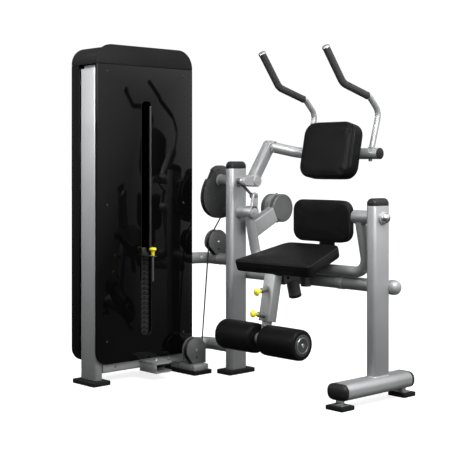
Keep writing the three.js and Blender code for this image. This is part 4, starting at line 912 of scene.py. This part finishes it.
def pad(node, outline, axis, levels, seam_level, place, cap):
    """A padded cushion: a remeshed, puffed cover with a welt along its seam."""
    cover = build(f"{node}.finished", [(VINYL, moved(stacked(outline, axis, levels), place))])
    remesh = cover.modifiers.new("even", "REMESH")
    remesh.mode = "VOXEL"
    remesh.voxel_size = 0.0042
    apply_modifiers(cover)
    cover.data.materials.clear()
    cover.data.materials.append(VINYL)
    seam_line = [place @ p / 1000 + SHIFT for p in lifted(outline, axis, seam_level)]
    seam_dense = []
    for a, b in zip(seam_line, seam_line[1:] + seam_line[:1]):
        pieces = max(1, int((b - a).length / 0.004))
        seam_dense += [a.lerp(b, k / pieces) for k in range(pieces)]
    tree = KDTree(len(seam_dense))
    for i, p in enumerate(seam_dense):
        tree.insert(p, i)
    tree.balance()
    inflate(cover, lambda p: tree.find(p)[0], cap)
    flat_part = cover.vertex_groups.new(name="away_from_seam")
    for v in cover.data.vertices:
        away = (v.co - tree.find(v.co)[0]).length
        flat_part.add([v.index], min(1.0, max(0.12, (away - 0.006) / 0.02)), "REPLACE")
    smooth = cover.modifiers.new("soft", "SMOOTH")
    smooth.factor = 0.5
    smooth.iterations = 26
    smooth.vertex_group = "away_from_seam"
    fine = cover.modifiers.new("fine", "SUBSURF")
    fine.levels = 1
    fine.render_levels = 1
    apply_modifiers(cover)
    shade_smooth(cover.data)
    surface = BVHTree.FromObject(cover, bpy.context.evaluated_depsgraph_get())
    welt = []
    for p in seam_dense[::2]:
        near = surface.find_nearest(p)
        welt.append((near[0] + near[1] * 0.0004 - SHIFT) * 1000)
    for _ in range(3):
        welt = [(welt[i - 1] + welt[i] * 2 + welt[(i + 1) % len(welt)]) / 4 for i in range(len(welt))]
    rings = []
    u = None
    for i, p in enumerate(welt):
        d = (welt[(i + 1) % len(welt)] - welt[i - 1]).normalized()
        u = across(d)[0] if u is None else (u - d * u.dot(d)).normalized()
        rings.append(circle(p, u, d.cross(u), WELT_RADIUS, 10))
    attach(cover, BODY_OF[node])
    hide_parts(node)
    trim = build(f"{node}.welt", [(PIPING, loft(rings, closed=True))], 60)
    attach(trim, BODY_OF[node])
    return cover


def pad_levels(face, back_face):
    """Levels from a pad's face to its back, as (height, inset)."""
    sense = 1 if back_face > face else -1
    steps = [(0, 11), (0.8, 7.5), (2.6, 4), (5.5, 1.6), (9, 0.4), (14, 0)]
    levels = [(face + sense * h, d + 1.0) for h, d in steps]
    levels += [(back_face - sense * h, d + 1.0) for h, d in ((9, 0.0), (4, 1.2), (1, 4.5), (0, 8))]
    return levels


BACK_TILT = about_x(math.radians(-12), 150, 1050)
pad("back_pad", rounded(USER_X + 1, 1050, 304, 256, 58, 14), "y", pad_levels(147, 222), 158, BACK_TILT,
    0.0022)
pad("lumbar_pad", rounded(USER_X - 1, 728, 340, 188, 50, 14), "y", pad_levels(109, 155), 119,
    Matrix.Identity(4), 0.005)


def curve_corner(a, corner, b, steps=10):
    out = []
    for k in range(steps + 1):
        t = k / steps
        out.append(tuple((1 - t) ** 2 * p + 2 * (1 - t) * t * q + t * t * r for p, q, r in zip(a, corner, b)))
    return out


FRONT, REAR, LENGTH, CORNER = 225, 160, 286, 18
seat_outline = (
    curve_corner((-FRONT, CORNER - 6), (-FRONT, -6), (-FRONT + CORNER, -6))
    + curve_corner((FRONT - CORNER, -6), (FRONT, -6), (FRONT - 1, CORNER - 6))
    + curve_corner((REAR + 9, LENGTH - 42), (REAR, LENGTH), (REAR - 42, LENGTH))
    + curve_corner((-REAR + 42, LENGTH), (-REAR, LENGTH), (-REAR - 9, LENGTH - 42))
)
seat_levels = [(1, 14), (0.6, 8), (-0.6, 4), (-2.4, 1.8), (-5, 0.8), (-9, 0.2), (-46, 0.2), (-50, 0.8),
               (-52.4, 2.6),
               (-53.2, 7)]
pad("seat_pad", seat_outline, "z", list(reversed(seat_levels)), -4.5, SEAT_SPACE, 0.006)

# ---- Pad plates, seat post and carrier ----

dress("back_pad_plate",
      (GREY, moved(plate(rounded(USER_X, 1062, 190, 96, 12), "y", 222.3, 228.3, 1.0), BACK_TILT)),
      *[(STEEL, moved(socket_bolt((USER_X + dx, 228, 1062 + dz), (0, 1, 0), 6, 4), BACK_TILT))
        for dx in (-75, 75) for dz in (-32, 32)])
dress(
    "seat_post",
    (SILVER, moved(plate(rounded(0, 140, 250, 190, 14), "z", -59.4, -53.4, 1.2), SEAT_SPACE)),
    (STEEL, moved(rod((0, 112, -182), (0, 112, -54), 20), SEAT_SPACE)),
)
dress(
    "seat_carrier",
    (MID_GREY, moved(plate(rounded(0, -85, 60, 50, 6), "y", 34, 200, 1.5), SEAT_SPACE)),
    (MID_GREY, moved(lathe([(24, 0), (27, 1), (28, 3), (28, 130), (27, 131.5), (21, 132)], (0, 112, -190),
                           (0, 0, 1)),
                 SEAT_SPACE)),
    (PLASTIC, moved(lathe([(0, 0), (25, 0), (28.6, 3), (28.6, 12), (28, 13)], (0, 112, -193), (0, 0, 1)),
                    SEAT_SPACE)),
    (MID_GREY, rod((USER_X, 18, 440), (USER_X, 18, 505), 23, 2.0)),
    # Painted shade: a near-black disc on the carrier's side, in place of the shadow inside a hole.
    (GAP_SHADE, moved(rod((29.4, 60, -85), (30.4, 60, -85), 7, 0.1), SEAT_SPACE)),
    (STEEL, moved(socket_bolt((29.8, 150, -85), (1, 0, 0), 7, 4), SEAT_SPACE)),
)
LUMBAR_BACK = 155.3
strap = [(LUMBAR_BACK, 790), (LUMBAR_BACK, 612), (63, 540), (71, 532), (LUMBAR_BACK + 6, 607),
         (LUMBAR_BACK + 6, 790)]
dress(
    "lumbar_bracket",
    (GREY, plate(strap, "x", USER_X - 45, USER_X + 45, 0.8)),
    *[(STEEL, socket_bolt((USER_X + dx, LUMBAR_BACK + 6, z), (0, 1, 0), 6, 4))
      for dx in (-25, 25) for z in (690, 765)],
)

# ---- Leg tube, pins, bar and rollers ----

POP_PINS = (("upper_pop_pin", -58, 0.35), ("lower_pop_pin", -172, 0.0))
leg_parts = [(SILVER, plate(rounded(0, 0, 64, 50, 6, 6), "z", -196, 4, 1.2)),
             # Painted shade: a near-black plate at the tube's open lower end, in place of the shadow up its
             # hollow.
             (GAP_SHADE, plate(rounded(0, 0, 40, 36, 4, 4), "z", -196.6, -190, 0.2))]
for _, z, tilt in POP_PINS:
    spot = about_x(tilt, -25, z)
    leg_parts.append((MID_GREY, moved(lathe([(13, 4), (13, -2), (11, -4), (11, -36), (10, -38), (5, -38)],
                                              (0, -25, z), (0, 1, 0)), spot)))
dress("leg_tube", *[(m, moved(s, LEG_SPACE)) for m, s in leg_parts])
for node, z, tilt in POP_PINS:
    spot = LEG_SPACE @ about_x(tilt, -25, z)
    dress(
        node,
        (STEEL, moved(lathe([(4.5, -8), (4.5, 41)], (0, -25, z), (0, -1, 0)), spot)),
        (YELLOW, moved(lathe([(6, 40), (6.6, 41), (6.6, 53), (9, 57.5), (13, 60.5), (15.4, 63), (15.9, 66),
                              (15, 69), (12, 72.2), (7, 74.4), (0, 75)], (0, -25, z), (0, -1, 0)), spot)),
    )
ROLLER_Y, ROLLER_Z, LEG_X = -258, 235, 6
dress(
    "leg_bar",
    (SILVER, moved(plate(rounded(0, 0, 34, 30, 3), "z", -280, -100, 1.0), LEG_SPACE)),
    (SILVER, rod((LEG_X - 22, ROLLER_Y, ROLLER_Z), (LEG_X + 22, ROLLER_Y, ROLLER_Z), 26, 1.5)),
    (STEEL, rod((LEG_X - 234, ROLLER_Y, ROLLER_Z), (LEG_X + 234, ROLLER_Y, ROLLER_Z), 12)),
    # Painted shade: near-black discs on the bar's front face, in place of the shadow inside its pin holes.
    *[(GAP_SHADE, moved(rod((0, -14.6, z), (0, -15.4, z), 5, 0.1), LEG_SPACE)) for z in (-222, -247)],
)
for node, side in (("left_roller", 1), ("right_roller", -1)):
    start = (LEG_X + side * 24, ROLLER_Y, ROLLER_Z)
    profile = [(12.6, 1), (46, 1), (52, 0.2), (57, 1.0), (61, 3.6), (63.6, 8), (64.6, 16), (65, 40),
               (65.2, 106),
               (65, 172), (64.6, 196), (63.6, 204), (61, 208.4), (57, 211), (52, 211.8), (46, 211),
               (12.6, 211)]
    roller = dress(
        node,
        (VINYL, lathe(profile, start, (side, 0, 0), 96, closed=True)),
        (GREY, lathe([(13, 208), (45, 208), (45.5, 209.5), (45.5, 212), (44, 213), (34, 213), (13, 212)],
                     start, (side, 0, 0), 64)),
        (STEEL, lathe([(29, 212), (33, 212), (34, 213.4), (33, 214.6), (30, 214.6), (29, 213)],
                      start, (side, 0, 0), 64)),
        (GREY, lathe([(29.5, 212), (29.5, 213.6), (14, 214), (13, 213.6)], start, (side, 0, 0), 64)),
        (STEEL, lathe([(9, 210), (9, 215), (7.6, 216.6), (5, 216.6), (4.6, 215), (0, 215)], start,
                      (side, 0, 0), 48)),
        sharp=50,
    )

# ---- Stage ----


def glow(material, strength):
    """Makes a stage material shine white."""
    shader = material.node_tree.nodes["Principled BSDF"]
    shader.inputs["Emission Color"].default_value = (1.0, 1.0, 1.0, 1.0)
    shader.inputs["Emission Strength"].default_value = strength
    return shader


floor_mesh = bpy.data.meshes.new("floor")
FAR = 40.0
floor_mesh.from_pydata([(-FAR, -FAR, 0), (FAR, -FAR, 0), (FAR, FAR, 0), (-FAR, FAR, 0)], [], [(0, 1, 2, 3)])
floor_material = finish("floor", (0.42, 0.42, 0.42), 0.9, mottle=0.01, mottle_scale=0.5, grain=0.02,
                        specular=0.0)
glow(floor_material, 0.80)
floor_mesh.materials.append(floor_material)
floor = bpy.data.objects.new("floor", floor_mesh)
floor.location.z = -0.0005
scene.collection.objects.link(floor)

# A white studio wall all round, seen only by the camera, so that it neither lights nor reflects.
wall_shape = lathe([(38000, -200), (38000, 16000), (26000, 26000), (2000, 30000), (10, 30000)],
                   (0, 0, 0), (0, 0, 1), 96)
wall_material = bpy.data.materials.new("studio_wall")
wall_material.use_nodes = True
glow(wall_material, 1.0).inputs["Base Color"].default_value = (0.0, 0.0, 0.0, 1.0)
wall = build("studio_wall", [(wall_material, wall_shape)])
for stage_piece in (floor, wall):
    stage_piece.visible_diffuse = False
    stage_piece.visible_glossy = False
wall.visible_shadow = False


def light(name, place, target, size, power, spread=180, mirrored=True):
    data = bpy.data.lights.new(name, "AREA")
    data.shape = "DISK"
    data.size = size
    data.energy = power
    data.spread = math.radians(spread)
    lamp = bpy.data.objects.new(name, data)
    lamp.location = place
    lamp.rotation_euler = (Vector(target) - Vector(place)).to_track_quat("-Z", "Y").to_euler()
    lamp.visible_camera = False
    lamp.visible_glossy = mirrored
    scene.collection.objects.link(lamp)


light("side", (1.75, -0.45, 2.05), (0.45, 0.1, 0.90), 1.5, 58)
light("key", (-1.15, -2.4, 2.3), (-0.85, -0.5, 1.2), 1.2, 10, 50)
light("back", (1.7, 2.8, 2.5), (0, 0, 0.9), 1.6, 20, mirrored=False)
light("top", (0.1, -0.4, 3.4), (0, 0, 0), 1.6, 22)

world = bpy.data.worlds.new("studio")
world.use_nodes = True
sky_nodes, sky_links = world.node_tree.nodes, world.node_tree.links
sky_place = sky_nodes.new("ShaderNodeTexCoord")
sky_split = sky_nodes.new("ShaderNodeSeparateXYZ")
sky_links.new(sky_place.outputs["Generated"], sky_split.inputs["Vector"])


def sky_ramp(source, low, high, start, end):
    """A value taken from one range to another."""
    ramp = sky_nodes.new("ShaderNodeMapRange")
    for socket, value in (("From Min", low), ("From Max", high), ("To Min", start), ("To Max", end)):
        ramp.inputs[socket].default_value = value
    sky_links.new(source, ramp.inputs["Value"])
    return ramp.outputs["Result"]


def sky_toward(x, y):
    """How nearly a direction of the sky agrees with a level one."""
    dot = sky_nodes.new("ShaderNodeVectorMath")
    dot.operation = "DOT_PRODUCT"
    dot.inputs[1].default_value = (x, y, 0.0)
    sky_links.new(sky_place.outputs["Generated"], dot.inputs[0])
    return dot.outputs["Value"]


def sky_product(a, b):
    product = sky_nodes.new("ShaderNodeMath")
    product.operation = "MULTIPLY"
    sky_links.new(a, product.inputs[0])
    sky_links.new(b, product.inputs[1])
    return product.outputs["Value"]


# Brighter with height, dim beyond the machine as the camera sees it, and lifted on the picture's right.
sky_height = sky_ramp(sky_split.outputs["Z"], -0.16, 0.42, 0.06, 0.72)
sky_dim = sky_ramp(sky_toward(-0.73, 0.68), 0.2, 1.0, 1.0, 0.12)
sky_lift = sky_ramp(sky_toward(0.73, 0.68), 0.1, 0.9, 1.0, 2.7)
sky_level = sky_product(sky_height, sky_product(sky_dim, sky_lift))
sky_links.new(sky_level, sky_nodes["Background"].inputs["Strength"])
sky_nodes["Background"].inputs["Color"].default_value = (1.0, 1.0, 1.0, 1.0)
scene.world = world
scene.view_settings.view_transform = "Standard"
